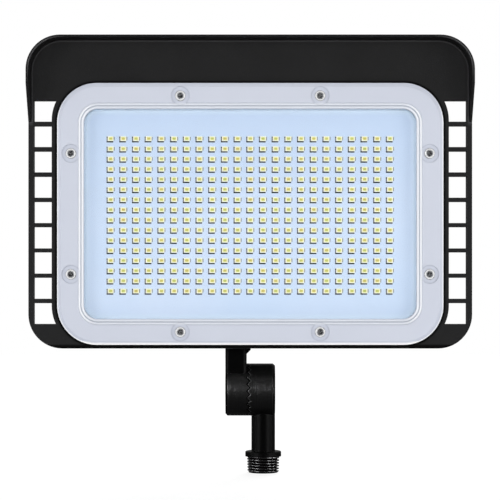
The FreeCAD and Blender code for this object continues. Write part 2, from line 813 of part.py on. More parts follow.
def knuckle_teeth(body, name, towards, turn):
    """Radial V teeth: grooves that taper toward the axis, cut one pitch apart all the way round.

    Each groove's two flanks are planes through the drum's centre, so the halves interlock in full
    at every whole pitch.
    """
    spread = 1.35
    sections = []
    for end, radius in (("inner", "(tooth_inner - 0.8)"), ("outer", "(drum_radius + 0.8)")):
        cut = sketch(body, f"{name}_groove_{end}", "XY")
        turned = FreeCAD.Rotation(FreeCAD.Vector(1, 0, 0), size(turn))
        cut.AttachmentOffset = FreeCAD.Placement(FreeCAD.Vector(), turned)
        bind(cut, "AttachmentOffset.Base.y", f"-sin({turn}) * {radius}")
        bind(cut, "AttachmentOffset.Base.z", f"cos({turn}) * {radius}")
        if turn != "0":
            bind(cut, "AttachmentOffset.Rotation.Angle", turn)
        high = f"tooth_height * {radius} / drum_radius"
        valley = f"{towards} * ({high} / 2 + tooth_gap / 2)"
        crest = f"{valley} - {towards} * {spread} * {high}"
        half = f"{spread} * {radius} * tan(180 / tooth_count)"
        outline(cut, [(valley, "0"), (crest, half), (crest, f"-({half})")])
        sections.append(cut)
    groove = body.newObject("PartDesign::SubtractiveLoft", f"{name}_groove")
    groove.Profile = sections[0]
    groove.Sections = [sections[1]]
    groove.Ruled = True
    body.Tip = groove
    teeth = body.newObject("PartDesign::PolarPattern", f"{name}_teeth")
    teeth.Originals = [groove]
    teeth.Axis = (origin_item(body, "X_Axis"), [""])
    teeth.Angle = 360
    bind(teeth, "Occurrences", "tooth_count")
    body.Tip = teeth


# Upper knuckle half: fixed under the bay, with an upright arm off the drum and a bolt counterbore.
upper = knuckle_drum("upper_knuckle", -1, "upper_length")
arm_top = "(arm_reach - base_gasket)"
arm_right = "(arm_width - upper_length)"
arm_across = "(arm_width / 2 - upper_length)"
arm = sketch(upper, "arm_section", "XY")
outline(
    arm,
    [
        ("-upper_length", "-arm_depth / 2", "2.5"),
        (arm_right, "-arm_depth / 2", "2.5"),
        (arm_right, "arm_depth / 2", "2.5"),
        ("-upper_length", "arm_depth / 2", "2.5"),
    ],
)
pad(upper, arm, arm_top)
flare = sketch(upper, "arm_flare", "XZ")
outline(
    flare,
    [
        (f"{arm_right} - 3", f"{arm_top} - flare_height"),
        (arm_right, f"{arm_top} - flare_height"),
        (f"{arm_right} + flare_width", f"{arm_top} - 0.8"),
        (f"{arm_right} + flare_width", arm_top),
        (f"{arm_right} - 3", arm_top),
    ],
)
pad(upper, flare, "arm_depth - 5", both=True)
hollow_drum(upper, "upper", -1, "upper_length")
arm_wire = sketch(upper, "arm_wire", "XY", arm_top)
circles(arm_wire, [(arm_across, "0")], "wire_radius")
pocket(upper, arm_wire, f"{arm_top} - hub_radius - 1.5")
arm_screws = sketch(upper, "arm_screws", "XY", arm_top)
circles(arm_screws, [(arm_across, f"{sign} * {base_screw_reach}") for sign in (-1, 1)], "1.85")
pocket(upper, arm_screws, "11")
bolt_way = sketch(upper, "bolt_way", "YZ")
circles(bolt_way, [("0", "0")], "bolt_radius + 0.3")
pocket(upper, bolt_way, "upper_length + 1")
counterbore = sketch(upper, "counterbore", "YZ", "-upper_length")
circles(counterbore, [("0", "0")], "bolt_head_radius + 0.6")
pocket(upper, counterbore, "counterbore_depth", reverse=True)
knuckle_teeth(upper, "upper", -1, "0")

# Lower knuckle half: the matching drum on a hollow stem with a collar and the conduit thread.
lower = knuckle_drum("lower_knuckle", 1, "lower_length")
stem_across = "(lower_length - stem_radius)"
stem = sketch(lower, "stem_section", "XY")
circles(stem, [(stem_across, "0")], "stem_radius")
pad(lower, stem, "axis_height - collar_thick / 2", reverse=True)
collar = sketch(lower, "collar_section", "XY", "-axis_height")
circles(collar, [(stem_across, "0")], "collar_radius")
collar_pad = pad(lower, collar, "collar_thick")
collar_top = flat_at("Z", "collar_thick - axis_height")
bevel(lower, collar_pad, lambda edge: collar_top(edge) and edge.Length > size("6 * collar_radius"), "0.4")
spigot = sketch(lower, "thread_section", "XY", "-axis_height")
circles(spigot, [(stem_across, "0")], "thread_radius")
spigot_pad = pad(lower, spigot, "thread_length", reverse=True)
bevel(lower, spigot_pad, flat_at("Z", "-axis_height - thread_length"), "1.2")
hollow_drum(lower, "lower", 1, "lower_length")
stem_wire = sketch(lower, "stem_wire", "XY", "-axis_height - thread_length")
circles(stem_wire, [(stem_across, "0")], "wire_radius")
pocket(lower, stem_wire, "axis_height + thread_length - hub_radius - 1.5", reverse=True)
bolt_hole = sketch(lower, "bolt_hole", "YZ", "land_drop")
circles(bolt_hole, [("0", "0")], "bolt_radius + 0.05")
pocket(lower, bolt_hole, "lower_length - land_drop - cavity_end_wall", reverse=True)
knuckle_teeth(lower, "lower", 1, "180 / tooth_count")

# Seal ring between the two lands of the knuckle.
ring = new_body("knuckle_seal", KNUCKLE)
ring_section = sketch(ring, "ring_section", "YZ", "land_drop")
circles(ring_section, [("0", "0")], "cavity_radius + 0.3")
circles(ring_section, [("0", "0")], "tooth_inner - 0.3")
pad(ring, ring_section, "2 * land_drop - 0.1", reverse=True)

# Clamp bolt with a hexagon socket, and the flat and lock washers under its head.
bolt_seat = "(counterbore_depth - upper_length)"
flat_back = f"({bolt_seat} - flat_washer_thick)"
lock_back = f"({flat_back} - lock_washer_thick)"


def hexagon(drawn, across_flats, middle=("0", "0")):
    """A regular hexagon with two corners level with its middle."""
    reach = f"({across_flats} / sqrt(3))"
    half = f"({across_flats} / 2)"
    across, up = middle
    shape = [(reach, "0"), (f"{reach} / 2", half), (f"-{reach} / 2", half)]
    shape += [(f"-{reach}", "0"), (f"-{reach} / 2", f"-{half}"), (f"{reach} / 2", f"-{half}")]
    outline(drawn, [(f"({across}) + ({x})", y if up == "0" else f"({up}) + ({y})") for x, y in shape])


bolt = new_body("clamp_bolt", KNUCKLE)
bolt_head = sketch(bolt, "bolt_head", "YZ", lock_back)
circles(bolt_head, [("0", "0")], "bolt_head_radius")
head_pad = pad(bolt, bolt_head, "bolt_head_height", reverse=True)
bevel(bolt, head_pad, flat_at("X", f"{lock_back} - bolt_head_height"), "0.6")
shank = sketch(bolt, "bolt_shank", "YZ", lock_back)
circles(shank, [("0", "0")], "bolt_radius")
shank_pad = pad(bolt, shank, "bolt_length")
bolt_socket = sketch(bolt, "bolt_socket", "YZ", f"{lock_back} - bolt_head_height")
hexagon(bolt_socket, "bolt_head_radius")
pocket(bolt, bolt_socket, "bolt_head_height / 2", reverse=True)

flat_washer = new_body("flat_washer", KNUCKLE)
flat_ring = sketch(flat_washer, "flat_ring", "YZ", bolt_seat)
circles(flat_ring, [("0", "0")], "bolt_radius + 0.2")
circles(flat_ring, [("0", "0")], "bolt_head_radius + 0.4")
pad(flat_washer, flat_ring, "flat_washer_thick", reverse=True)

lock_washer = new_body("lock_washer", KNUCKLE)
lock_ring = sketch(lock_washer, "lock_ring", "YZ", flat_back)
circles(lock_ring, [("0", "0")], "bolt_radius + 0.1")
circles(lock_ring, [("0", "0")], "bolt_head_radius - 0.1")
pad(lock_washer, lock_ring, "lock_washer_thick", reverse=True)
split = sketch(lock_washer, "lock_split", "YZ", flat_back)
box(split, "-0.7", "0.7", "bolt_radius - 1", "bolt_head_radius + 1")
pocket(lock_washer, split, "lock_washer_thick")

# Gasket between the arm and the underside of the bay.
base_seal = new_body("knuckle_base_gasket", HEAD)
base_face = sketch(base_seal, "base_face", "XY")
base_left = f"({arm_middle} - arm_width / 2)"
base_right = f"({arm_middle} + arm_width / 2 + flare_width - 0.2)"
base_step = f"({arm_middle} + arm_width / 2)"
base_half, flare_half = "(arm_depth / 2 - 0.2)", "(arm_depth / 2 - 2.5)"
outline(
    base_face,
    [
        (base_left, f"-{base_half}", "2.5"),
        (f"{base_step} - 2.5", f"-{base_half}"),
        (base_step, f"-{flare_half}"),
        (base_right, f"-{flare_half}"),
        (base_right, flare_half),
        (base_step, flare_half),
        (f"{base_step} - 2.5", base_half),
        (base_left, base_half, "2.5"),
    ],
)
pad(base_seal, base_face, "base_gasket", reverse=True)
base_holes = sketch(base_seal, "base_holes", "XY")
circles(base_holes, [(arm_middle, "0")], "wire_radius + 0.5")
circles(base_holes, base_screw_spots, "2.1")
pocket(base_seal, base_holes, "base_gasket")


def screw(name, head_radius, head_height, shank_radius, shank_length, socket):
    """One screw along Z, head up on the plane Z = 0, with a hexagon socket in a domed head."""
    body = new_body(name)
    turned = sketch(body, f"{name}_half", "XZ")
    outline(
        turned,
        [
            ("0", f"-({shank_length})"),
            (shank_radius, f"-({shank_length})"),
            (shank_radius, "0"),
            (head_radius, "0"),
            (head_radius, f"0.45 * {head_height}"),
            (f"0.88 * {head_radius}", f"0.8 * {head_height}"),
            (f"0.64 * {head_radius}", head_height),
            ("0", head_height),
        ],
    )
    turn = body.newObject("PartDesign::Revolution", f"{name}_turn")
    turn.Profile = turned
    turn.ReferenceAxis = (turned, ["V_Axis"])
    turn.Angle = 360
    body.Tip = turn
    key = sketch(body, f"{name}_socket", "XY", head_height)
    hexagon(key, socket)
    pocket(body, key, f"0.55 * {head_height}")
    return body


FORWARD = FreeCAD.Rotation(FreeCAD.Vector(0, 0, 1), FreeCAD.Vector(0, -1, 0))
BACKWARD = FreeCAD.Rotation(FreeCAD.Vector(0, 0, 1), FreeCAD.Vector(0, 1, 0))
UPRIGHT = FreeCAD.Rotation()


def fastened(name, pattern, turn, spots):
    """A group of equal screws: copies of one pattern at spots given as (x, y, z) formulas."""
    copies = []
    for spot in spots:
        copy = pattern.Shape.copy()
        copy.Placement = FreeCAD.Placement(FreeCAD.Vector(*[size(part) for part in spot]), turn)
        copies.append(copy)
    group = doc.addObject("Part::Feature", name)
    group.Label = name
    group.Shape = Part.makeCompound(copies)
    place(group, HEAD)
    return group


def on_plane(spots, forward):
    return [(across, f"-({forward})", up) for across, up in spots]


# Fasteners. Every group is one node of separate, equal screws.
frame_screw = screw("frame_screw_pattern", "3.4", "2.2", "1.75", "14", "3.4")
cover_screw = screw("cover_screw_pattern", "3", "1.9", "1.45", "11", "2.4")
visor_screw = screw("visor_screw_pattern", "2.5", "1.6", "1.2", "7", "2")
driver_screw = screw("driver_screw_pattern", "2.9", "1.8", "1.45", "6", "2.4")
earth_pattern = screw("earth_screw_pattern", "3.9", "2.4", "1.95", "9", "3")
base_screw = screw("base_screw_pattern", "base_head_radius", "2.6", "1.75", "15", "3")
doc.recompute()
frame_screw_seat = f"{bezel_front} - spot_drop"
cover_screw_seat = f"{cover_front} - cover_thick"
visor_screw_seat = f"{shell_back} - flange_thick"
driver_screw_seat = f"{floor_back} - post_height - ear_thick"
fastened("frame_screws", frame_screw, FORWARD, on_plane(frame_screw_spots, frame_screw_seat))
fastened("rear_cover_screws", cover_screw, BACKWARD, on_plane(cover_screw_spots, cover_screw_seat))
fastened("visor_screws", visor_screw, BACKWARD, on_plane(visor_screw_spots, visor_screw_seat))
fastened("driver_screws", driver_screw, BACKWARD, on_plane(driver_screw_spots, driver_screw_seat))
fastened("earth_screw", earth_pattern, BACKWARD, on_plane([earth_spot], f"{floor_back} - 12"))
fastened("knuckle_base_screws", base_screw, UPRIGHT, [(x, y, "bay_sill") for x, y in base_screw_spots])

# LED packages: an even field of small surface-mounted bodies on the board.
packages = []
columns, rows = int(size("led_columns")), int(size("led_rows"))
step_across = size(f"({window_width} - 2 * led_side) / (led_columns - 1)")
step_up = size(f"({window_height} - 2 * led_level) / (led_rows - 1)")
for column in range(columns):
    for level in range(rows):
        across = (column - (columns - 1) / 2) * step_across
        up = (level - (rows - 1) / 2) * step_up + size(bezel_middle)
        low_corner = FreeCAD.Vector(
            across - size("led_long") / 2,
            -size(board_front) - size("led_tall"),
            up - size("led_short") / 2,
        )
        packages.append(Part.makeBox(size("led_long"), size("led_tall"), size("led_short"), low_corner))
led_packages = doc.addObject("Part::Feature", "led_packages")
led_packages.Label = "led_packages"
led_packages.Shape = Part.makeCompound(packages)
place(led_packages, HEAD)

# LED leads: two wires from the driver's end, turned forward through the grommet to the board.
lead = new_body("lead_pattern")
lead_way = sketch(lead, "lead_way", "XY")
lead_out = size(f"{driver_length} / 2")
lead_turn = size(lead_spot[0])
lead_level = -size(f"{floor_back} - driver_depth / 2")
lead_end = -size(board_back)
bend = 4.0
bend_middle = FreeCAD.Vector(lead_turn - bend, lead_level - bend, 0)
bend_circle = Part.Circle(bend_middle, FreeCAD.Vector(0, 0, 1), bend)
up_vector, right_vector = FreeCAD.Vector(0, bend, 0), FreeCAD.Vector(bend, 0, 0)
bend_span = [bend_circle.parameter(bend_middle + end) for end in (right_vector, up_vector)]
way = lead_way.addGeometry(
    [
        Part.LineSegment(FreeCAD.Vector(lead_out, lead_level, 0), bend_middle + up_vector),
        Part.ArcOfCircle(bend_circle, *bend_span),
        Part.LineSegment(bend_middle + right_vector, FreeCAD.Vector(lead_turn, lead_end, 0)),
    ],
    False,
)
lead_way.addConstraint(Sketcher.Constraint("Tangent", way[0], 2, way[1], 2))
lead_way.addConstraint(Sketcher.Constraint("Tangent", way[1], 1, way[2], 1))
lead_way.addConstraint(Sketcher.Constraint("Horizontal", way[0]))
lead_way.addConstraint(Sketcher.Constraint("Radius", way[1], bend))
fix_point(lead_way, way[0], 1, f"{driver_length} / 2", f"driver_depth / 2 - {floor_back}")
fix_point(lead_way, way[2], 2, lead_spot[0], f"-{board_back}")
lead_round = sketch(lead, "lead_round", "YZ", f"{driver_length} / 2")
circles(lead_round, [(f"driver_depth / 2 - {floor_back}", "0")], "lead_radius")
wire = lead.newObject("PartDesign::AdditivePipe", "lead_wire")
wire.Profile = lead_round
wire.Spine = lead_way
lead.Tip = wire
doc.recompute()
fastened("led_leads", lead, UPRIGHT, [("0", "0", f"{lead_spot[1]} {sign} 1.1") for sign in "+-"])

doc.recompute()

# Every piece is checked, then written under its own name.
NODES = [
    "main_housing",
    "glare_visor",
    "visor_screws",
    "lens_frame",
    "frame_screws",
    "lens_glass",
    "glass_seal",
    "frame_gasket",
    "led_board",
    "led_packages",
    "thermal_pad",
    "led_driver",
    "driver_screws",
    "led_leads",
    "lead_grommet",
    "earth_screw",
    "rear_cover",
    "rear_cover_gasket",
    "rear_cover_screws",
    "wire_bush",
    "knuckle_base_gasket",
    "knuckle_base_screws",
    "upper_knuckle",
    "clamp_bolt",
    "flat_washer",
    "lock_washer",
    "knuckle_seal",
    "lower_knuckle",
]
for item in doc.Objects:
    if {"Invalid", "Error"} & set(item.State):
        raise RuntimeError(f"{item.Name} did not build: {item.State}")
os.makedirs("parts", exist_ok=True)
for node in NODES:
    shape = doc.getObject(node).Shape
    if shape.isNull() or not shape.isValid():
        raise RuntimeError(f"{node} has no valid shape")
    shape.exportStep(f"parts/{node}.step")
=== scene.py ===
import json

import bmesh
import bpy
import numpy as np
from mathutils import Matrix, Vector

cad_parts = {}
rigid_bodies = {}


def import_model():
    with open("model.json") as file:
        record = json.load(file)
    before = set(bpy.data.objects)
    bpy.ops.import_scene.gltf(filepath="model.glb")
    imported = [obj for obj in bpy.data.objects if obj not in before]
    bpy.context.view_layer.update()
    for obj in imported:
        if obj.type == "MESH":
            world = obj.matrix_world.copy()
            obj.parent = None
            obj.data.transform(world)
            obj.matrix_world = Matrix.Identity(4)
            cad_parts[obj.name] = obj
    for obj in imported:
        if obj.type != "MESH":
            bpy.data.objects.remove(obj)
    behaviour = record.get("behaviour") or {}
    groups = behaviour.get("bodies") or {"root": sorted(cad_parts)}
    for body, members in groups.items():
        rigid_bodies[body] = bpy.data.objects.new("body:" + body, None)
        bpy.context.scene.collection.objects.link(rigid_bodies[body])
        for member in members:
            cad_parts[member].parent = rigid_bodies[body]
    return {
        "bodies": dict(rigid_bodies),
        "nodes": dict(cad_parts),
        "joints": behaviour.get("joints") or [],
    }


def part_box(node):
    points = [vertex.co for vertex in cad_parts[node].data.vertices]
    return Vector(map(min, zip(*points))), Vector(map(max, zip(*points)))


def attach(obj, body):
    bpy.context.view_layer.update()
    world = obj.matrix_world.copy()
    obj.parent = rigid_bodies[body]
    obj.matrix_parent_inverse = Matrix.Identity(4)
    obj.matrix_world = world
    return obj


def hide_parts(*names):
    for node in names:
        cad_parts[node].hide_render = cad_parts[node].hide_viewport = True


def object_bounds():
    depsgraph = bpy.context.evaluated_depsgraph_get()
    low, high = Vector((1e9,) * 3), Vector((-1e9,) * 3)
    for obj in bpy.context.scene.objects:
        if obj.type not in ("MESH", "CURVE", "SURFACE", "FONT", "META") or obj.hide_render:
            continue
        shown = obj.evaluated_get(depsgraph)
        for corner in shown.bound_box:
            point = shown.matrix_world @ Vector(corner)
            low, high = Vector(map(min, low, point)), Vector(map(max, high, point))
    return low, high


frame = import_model()
nodes = frame["nodes"]
kept = set(nodes.values()) | set(frame["bodies"].values())
for left_over in [item for item in bpy.data.objects if item not in kept]:
    bpy.data.objects.remove(left_over)
cad_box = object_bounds()
scene = bpy.context.scene


# Lower knuckle half: cast aluminium in a smooth deep black coat, with its drum turned to bare metal.
# A painted highlight pales the metal round the drum's end edges. Along the teeth a paler band is
# partly wear and partly a painted highlight, with grime and painted shade beside it in the joint.
# Its hollow stem ends in a collar and a tapered pipe thread, cut after casting, that screws into the
# conduit box.
THREAD_PITCH = 0.0254 / 14
THREAD_DEPTH = 0.0014
THREAD_TOP = 0.01067
THREAD_LENGTH = 0.0107
THREAD_TAPER = 1 / 32
THREAD_RUN_OUT = 1.1 * THREAD_PITCH
CREST_SHARE, FLANK_SHARE = 0.3, 0.45
END_CHAMFER = 0.0012
WIRE_BORE = 0.0045


class Term:
    """A shader socket in Python arithmetic: each operator adds the Math node it stands for."""

    def __init__(self, finish, socket):
        self.finish, self.socket = finish, socket

    def maths(self, operation, *terms):
        return self.finish.node("ShaderNodeMath", {"operation": operation}, dict(enumerate(terms)))

    def __add__(self, other):
        return self.maths("ADD", self, other)

    def __radd__(self, other):
        return self.maths("ADD", other, self)

    def __sub__(self, other):
        return self.maths("SUBTRACT", self, other)

    def __rsub__(self, other):
        return self.maths("SUBTRACT", other, self)

    def __mul__(self, other):
        return self.maths("MULTIPLY", self, other)

    def __rmul__(self, other):
        return self.maths("MULTIPLY", other, self)

    def __truediv__(self, other):
        return self.maths("DIVIDE", self, other)

    def __pow__(self, other):
        return self.maths("POWER", self, other)

    def __abs__(self):
        return self.maths("ABSOLUTE", self)


class Finish:
    """One procedural material, built up in front of a Principled shader."""

    def __init__(self, name, **constants):
        self.material = bpy.data.materials.new(name)
        self.material.use_nodes = True
        self.tree = self.material.node_tree
        self.shader = self.tree.nodes["Principled BSDF"]
        for socket, value in constants.items():
            self.feed(self.shader.inputs[socket.replace("_", " ")], value)
        self.place = self.node("ShaderNodeTexCoord", out="Object")

    def feed(self, socket, value):
        if isinstance(value, Term):
            self.tree.links.new(value.socket, socket)
        elif isinstance(value, tuple) and socket.type == "RGBA":
            socket.default_value = (*value, 1.0)
        else:
            socket.default_value = value

    def node(self, kind, settings=None, sockets=None, out=0):
        """A new node: its settings first (a ramp's as stops), then the values or links it takes."""
        made = self.tree.nodes.new(kind)
        for name, value in (settings or {}).items():
            if name == "stops":
                while len(made.color_ramp.elements) < len(value):
                    made.color_ramp.elements.new(1.0)
                for element, (spot, colour) in zip(made.color_ramp.elements, value):
                    element.position, element.color = spot, (*colour, 1.0)
            else:
                setattr(made, name, value)
        for key, value in (sockets or {}).items():
            self.feed(made.inputs[key], value)
        return Term(self, made.outputs[out])

    def cloud(self, scale, detail=2.0):
        """Noise of that many waves to the metre, about 0.5 in the middle."""
        waves = {"Vector": self.place, "Scale": scale, "Detail": detail}
        return self.node("ShaderNodeTexNoise", {}, waves)

    def between(self, share, first, second):
        """A colour that goes from first to second as share goes from 0 to 1."""
        mixed = {0: share, 6: first, 7: second}
        return self.node("ShaderNodeMix", {"data_type": "RGBA"}, mixed, out=2)

    def step(self, value, low, high):
        """0 below low, 1 above high, and a straight ramp between."""
        return self.node("ShaderNodeMapRange", {}, {0: value, 1: low, 2: high, 3: 0.0, 4: 1.0})

    def band(self, value, low, high, soft=0.0002):
        """1 from low to high, and 0 outside, with soft edges of that width."""
        return self.step(value, low - soft, low + soft) * (1 - self.step(value, high - soft, high + soft))

    def paint(self, **inputs):
        for socket, value in inputs.items():
            self.feed(self.shader.inputs[socket.replace("_", " ")], value)

    def relief(self, height, depth, edge=0.0):
        """Bump of that depth in metres, on edges that are rounded off over the width edge."""
        sockets = {"Strength": 1.0, "Distance": depth, "Height": height}
        if edge:
            sockets["Normal"] = self.node("ShaderNodeBevel", {"samples": 6}, {"Radius": edge})
        return self.node("ShaderNodeBump", {}, sockets)

    def streaks(self, scale):
        """Noise drawn out into lines, of that many waves to the metre across, deep and up."""
        drawn = self.node("ShaderNodeMapping", {}, {"Vector": self.place, "Scale": scale})
        return self.node("ShaderNodeTexNoise", {}, {"Vector": drawn, "Scale": 1.0, "Detail": 2.0})

    def spread(self, vector=None):
        """A vector's three terms, across, deep and up: the object coordinates if none is given."""
        sockets = {0: vector or self.place}
        return [self.node("ShaderNodeSeparateXYZ", {}, sockets, out=axis) for axis in range(3)]

    def askew(self):
        """0 where the surface faces the eye, 1 where it is seen edge on."""
        return self.node("ShaderNodeLayerWeight", {}, {0: 0.5}, out="Facing")

    def rub(self, width):
        """1 on edges, 0 on flats: how far a normal rounded over width turns from the face's own."""
        soft = self.node("ShaderNodeBevel", {"samples": 6}, {"Radius": width})
        face = self.node("ShaderNodeNewGeometry", out="True Normal")
        product = {"operation": "DOT_PRODUCT"}
        level = self.node("ShaderNodeVectorMath", product, {0: soft, 1: face}, out=1)
        return self.step(1 - level, 0.004, 0.07)


def coat(name, deep, worn, rough, shine, grain, depth, edge):
    """Powder coat: a cloudy tone, fine orange peel in the bump, greyer where edges wear."""
    finish = Finish(name, Specular_IOR_Level=shine)
    clouds, peel, dust = finish.cloud(30, 4), finish.cloud(grain, 2), finish.cloud(9000, 1)
    tone = finish.between(clouds * 0.7 + dust * 0.3, deep, tuple(part * 1.7 for part in deep))
    finish.tone = finish.between(finish.rub(2 * edge) * (0.4 + 0.6 * clouds), tone, worn)
    finish.height = peel * 0.75 + dust * 0.25
    finish.paint(
        Base_Color=finish.tone,
        Roughness=rough + 0.16 * (clouds - 0.5) + 0.10 * (dust - 0.5),
        Normal=finish.relief(finish.height, depth, edge),
    )
    return finish


def dress(material, *names):
    """Gives the named CAD nodes a material."""
    for name in names:
        nodes[name].data.materials.clear()
        nodes[name].data.materials.append(material)


def merged(name):
    """Points and triangles of a CAD node, with points that round to one micrometre made one."""
    mesh = nodes[name].data
    mesh.calc_loop_triangles()
    points = np.empty(len(mesh.vertices) * 3)
    mesh.vertices.foreach_get("co", points)
    corners = np.empty(len(mesh.loop_triangles) * 3, int)
    mesh.loop_triangles.foreach_get("vertices", corners)
    points = points.reshape(-1, 3)
    _, first, same = np.unique(np.round(points * 1e6), axis=0, return_index=True, return_inverse=True)
    triangles = same.reshape(-1)[corners].reshape(-1, 3)
    whole = (triangles[:, 0] != triangles[:, 1]) & (triangles[:, 1] != triangles[:, 2])
    whole &= triangles[:, 2] != triangles[:, 0]
    return points[first], triangles[whole]


def solid(name, points, faces, material, outward=True, sharp=35):
    """A mesh object from arrays: doubles merged, faces outward, creased where it turns sharply."""
    mesh = bpy.data.meshes.new(name)
    mesh.from_pydata(points.tolist(), [], [list(face) for face in faces])
    shape = bmesh.new()
    shape.from_mesh(mesh)
    bmesh.ops.remove_doubles(shape, verts=shape.verts, dist=1e-7)
    bmesh.ops.dissolve_degenerate(shape, edges=shape.edges, dist=1e-7)
    if outward:
        bmesh.ops.recalc_face_normals(shape, faces=shape.faces)
    shape.to_mesh(mesh)
    shape.free()
    mesh.shade_smooth()
    mesh.set_sharp_from_angle(angle=np.radians(sharp))
    mesh.materials.append(material)
    made = bpy.data.objects.new(name, mesh)
    scene.collection.objects.link(made)
    return made


def pipe_thread():
    """The thread's skin on a grid that follows the helix.

    Along a row the angle runs once round while the height drops by one pitch. Down a column the
    radius goes from a flat crest along a rounded flank to a flat root and back. The crest shrinks
    with the taper, the groove dies out under the collar, and a 45 degree chamfer cuts the end.
    """
    around, steps = 96, 16
    rows = int(np.ceil(THREAD_LENGTH / THREAD_PITCH)) * steps + 2 * steps
    turn = np.linspace(0, 2 * np.pi, around + 1)[None, :]
    along = (np.arange(rows)[:, None] / steps - 1.0) + turn / (2 * np.pi) - 1.0
    height = np.clip(-along * THREAD_PITCH, -THREAD_LENGTH, 0.0)
    wave = np.abs(2 * (np.arange(rows)[:, None] / steps % 1.0) - 1.0) + 0 * turn
    groove = 0.5 - 0.5 * np.cos(np.pi * np.clip((wave - CREST_SHARE) / FLANK_SHARE, 0, 1))
    fade = np.clip(-height / THREAD_RUN_OUT, 0, 1)
    crest = THREAD_TOP + height * THREAD_TAPER
    radius = crest - THREAD_DEPTH * groove * fade
    radius = np.minimum(radius, THREAD_TOP - END_CHAMFER + (height + THREAD_LENGTH))
    grid = np.stack([radius * np.cos(turn), radius * np.sin(turn), height], axis=-1)
    rim = np.full((1, around + 1), -THREAD_LENGTH)
    end = np.stack([WIRE_BORE * np.cos(turn), WIRE_BORE * np.sin(turn), rim], axis=-1)
    grid = np.concatenate([grid, end])
    index = np.arange(grid.shape[0] * grid.shape[1]).reshape(grid.shape[:2])
    faces = np.stack([index[:-1, :-1], index[:-1, 1:], index[1:, 1:], index[1:, :-1]], axis=-1)
    return grid.reshape(-1, 3), faces.reshape(-1, 4)


hinge = next(joint for joint in frame["joints"] if joint["name"] == "head_tilt")
PARTING, _, AXIS_HEIGHT = hinge["pos_m"]
STEM_RADIUS, DRUM_CHAMFER = 0.0078, 0.0014
DRUM_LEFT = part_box("upper_knuckle")[0][0]
DRUM_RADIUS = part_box("lower_knuckle")[1][1]
DRUM_MIDDLE = (DRUM_LEFT + STEM_RADIUS) / 2
DRUM_EDGE = (STEM_RADIUS - DRUM_LEFT) / 2 - DRUM_CHAMFER
EDGE_INNER, EDGE_OUTER = 0.0004, 0.0003
TEETH, TOOTH_HEIGHT, TOOTH_GAP, TOOTH_BAND_REACH = 24, 0.0019, 0.0001, 0.0009
SKIN_DEPTH, SQUARE_ON = (0.0001, 0.0003), (0.95, 0.98)
PEEL_DEPTH, KNUCKLE_ROUND, TURNING_HEIGHT = 0.00004, 0.0004, 4
KNUCKLE_BLACK, KNUCKLE_WORN = (0.0008, 0.0008, 0.0009), (0.002, 0.002, 0.0021)
TURNED_METAL, EDGE_HIGHLIGHT_METAL = (0.24, 0.24, 0.245), (0.5, 0.5, 0.51)
TOOTH_BRIGHT, TOOTH_GRIME_AND_SHADE = (0.6, 0.6, 0.61), (0.01, 0.01, 0.01)
knuckle_coat = coat(
    "knuckle_coat",
    KNUCKLE_BLACK,
    KNUCKLE_WORN,
    rough=0.36,
    shine=0.2,
    grain=1500,
    depth=PEEL_DEPTH,
    edge=KNUCKLE_ROUND,
)
knuckle_across, knuckle_deep, knuckle_up = knuckle_coat.spread()
above_axis = knuckle_up - AXIS_HEIGHT
drum_far = (above_axis ** 2 + knuckle_deep ** 2) ** 0.5
off_drum = abs(drum_far - DRUM_RADIUS)
_, normal_deep, normal_up = knuckle_coat.spread(knuckle_coat.node("ShaderNodeTexCoord", out="Normal"))
straight_out = (normal_deep * knuckle_deep + normal_up * above_axis) / drum_far
round_skin = knuckle_coat.step(straight_out, *SQUARE_ON)
on_drum = (1 - knuckle_coat.step(off_drum, *SKIN_DEPTH)) * round_skin
off_middle = abs(knuckle_across - DRUM_MIDDLE)
# Painted highlight: paler metal on a band round each end edge of the drum.
drum_edge_highlight = knuckle_coat.band(off_middle, DRUM_EDGE - EDGE_INNER, DRUM_EDGE + EDGE_OUTER)
drum_tone = knuckle_coat.between(drum_edge_highlight, TURNED_METAL, EDGE_HIGHLIGHT_METAL)
teeth_round = above_axis.maths("ARCTAN2", above_axis, 0 - knuckle_deep) * (TEETH / (2 * np.pi))
zigzag = TOOTH_HEIGHT * (2 * teeth_round.maths("PINGPONG", teeth_round, 0.5) - 0.5)
past_teeth = knuckle_across - PARTING - zigzag
# Paler metal along the teeth: partly wear and partly a painted highlight.
tooth_edge = knuckle_coat.band(past_teeth, TOOTH_GAP, TOOTH_BAND_REACH, TOOTH_GAP)
# A dark band on the other side of the teeth: grime and painted shade in the joint.
tooth_grime_and_shade = knuckle_coat.band(past_teeth, -TOOTH_BAND_REACH, -TOOTH_GAP, TOOTH_GAP)
drum_tone = knuckle_coat.between(tooth_edge, drum_tone, TOOTH_BRIGHT)
drum_tone = knuckle_coat.between(tooth_grime_and_shade, drum_tone, TOOTH_GRIME_AND_SHADE)
turning = knuckle_coat.streaks((2600.0, 40.0, 40.0))
knuckle_height = knuckle_coat.height + TURNING_HEIGHT * on_drum * turning
knuckle_coat.paint(
    Base_Color=knuckle_coat.between(on_drum, knuckle_coat.tone, drum_tone),
    Metallic=knuckle_coat.step(on_drum, 0.0, 0.01),
    Normal=knuckle_coat.relief(knuckle_height, PEEL_DEPTH, KNUCKLE_ROUND),
)

THREAD_DARK, THREAD_BRIGHT = (0.0005, 0.0005, 0.0005), (0.6, 0.6, 0.61)
WORN_CREST = (0.05 * THREAD_DEPTH, 0.35 * THREAD_DEPTH)
thread_coat = Finish("thread_metal", Specular_IOR_Level=0.2)
thread_across, thread_deep, thread_up = thread_coat.spread()
sunk = THREAD_TOP + THREAD_TAPER * thread_up - (thread_across ** 2 + thread_deep ** 2) ** 0.5
crest = 1 - thread_coat.step(sunk, *WORN_CREST)
grit = thread_coat.cloud(2600, 2)
thread_coat.paint(
    Base_Color=thread_coat.between(crest * (0.85 + 0.15 * grit), THREAD_DARK, THREAD_BRIGHT),
    Metallic=thread_coat.step(crest, 0.0, 0.02),
    Roughness=0.24 + 0.1 * (grit - 0.5),
    Normal=thread_coat.relief(grit, 0.000004, 0.0001),
)

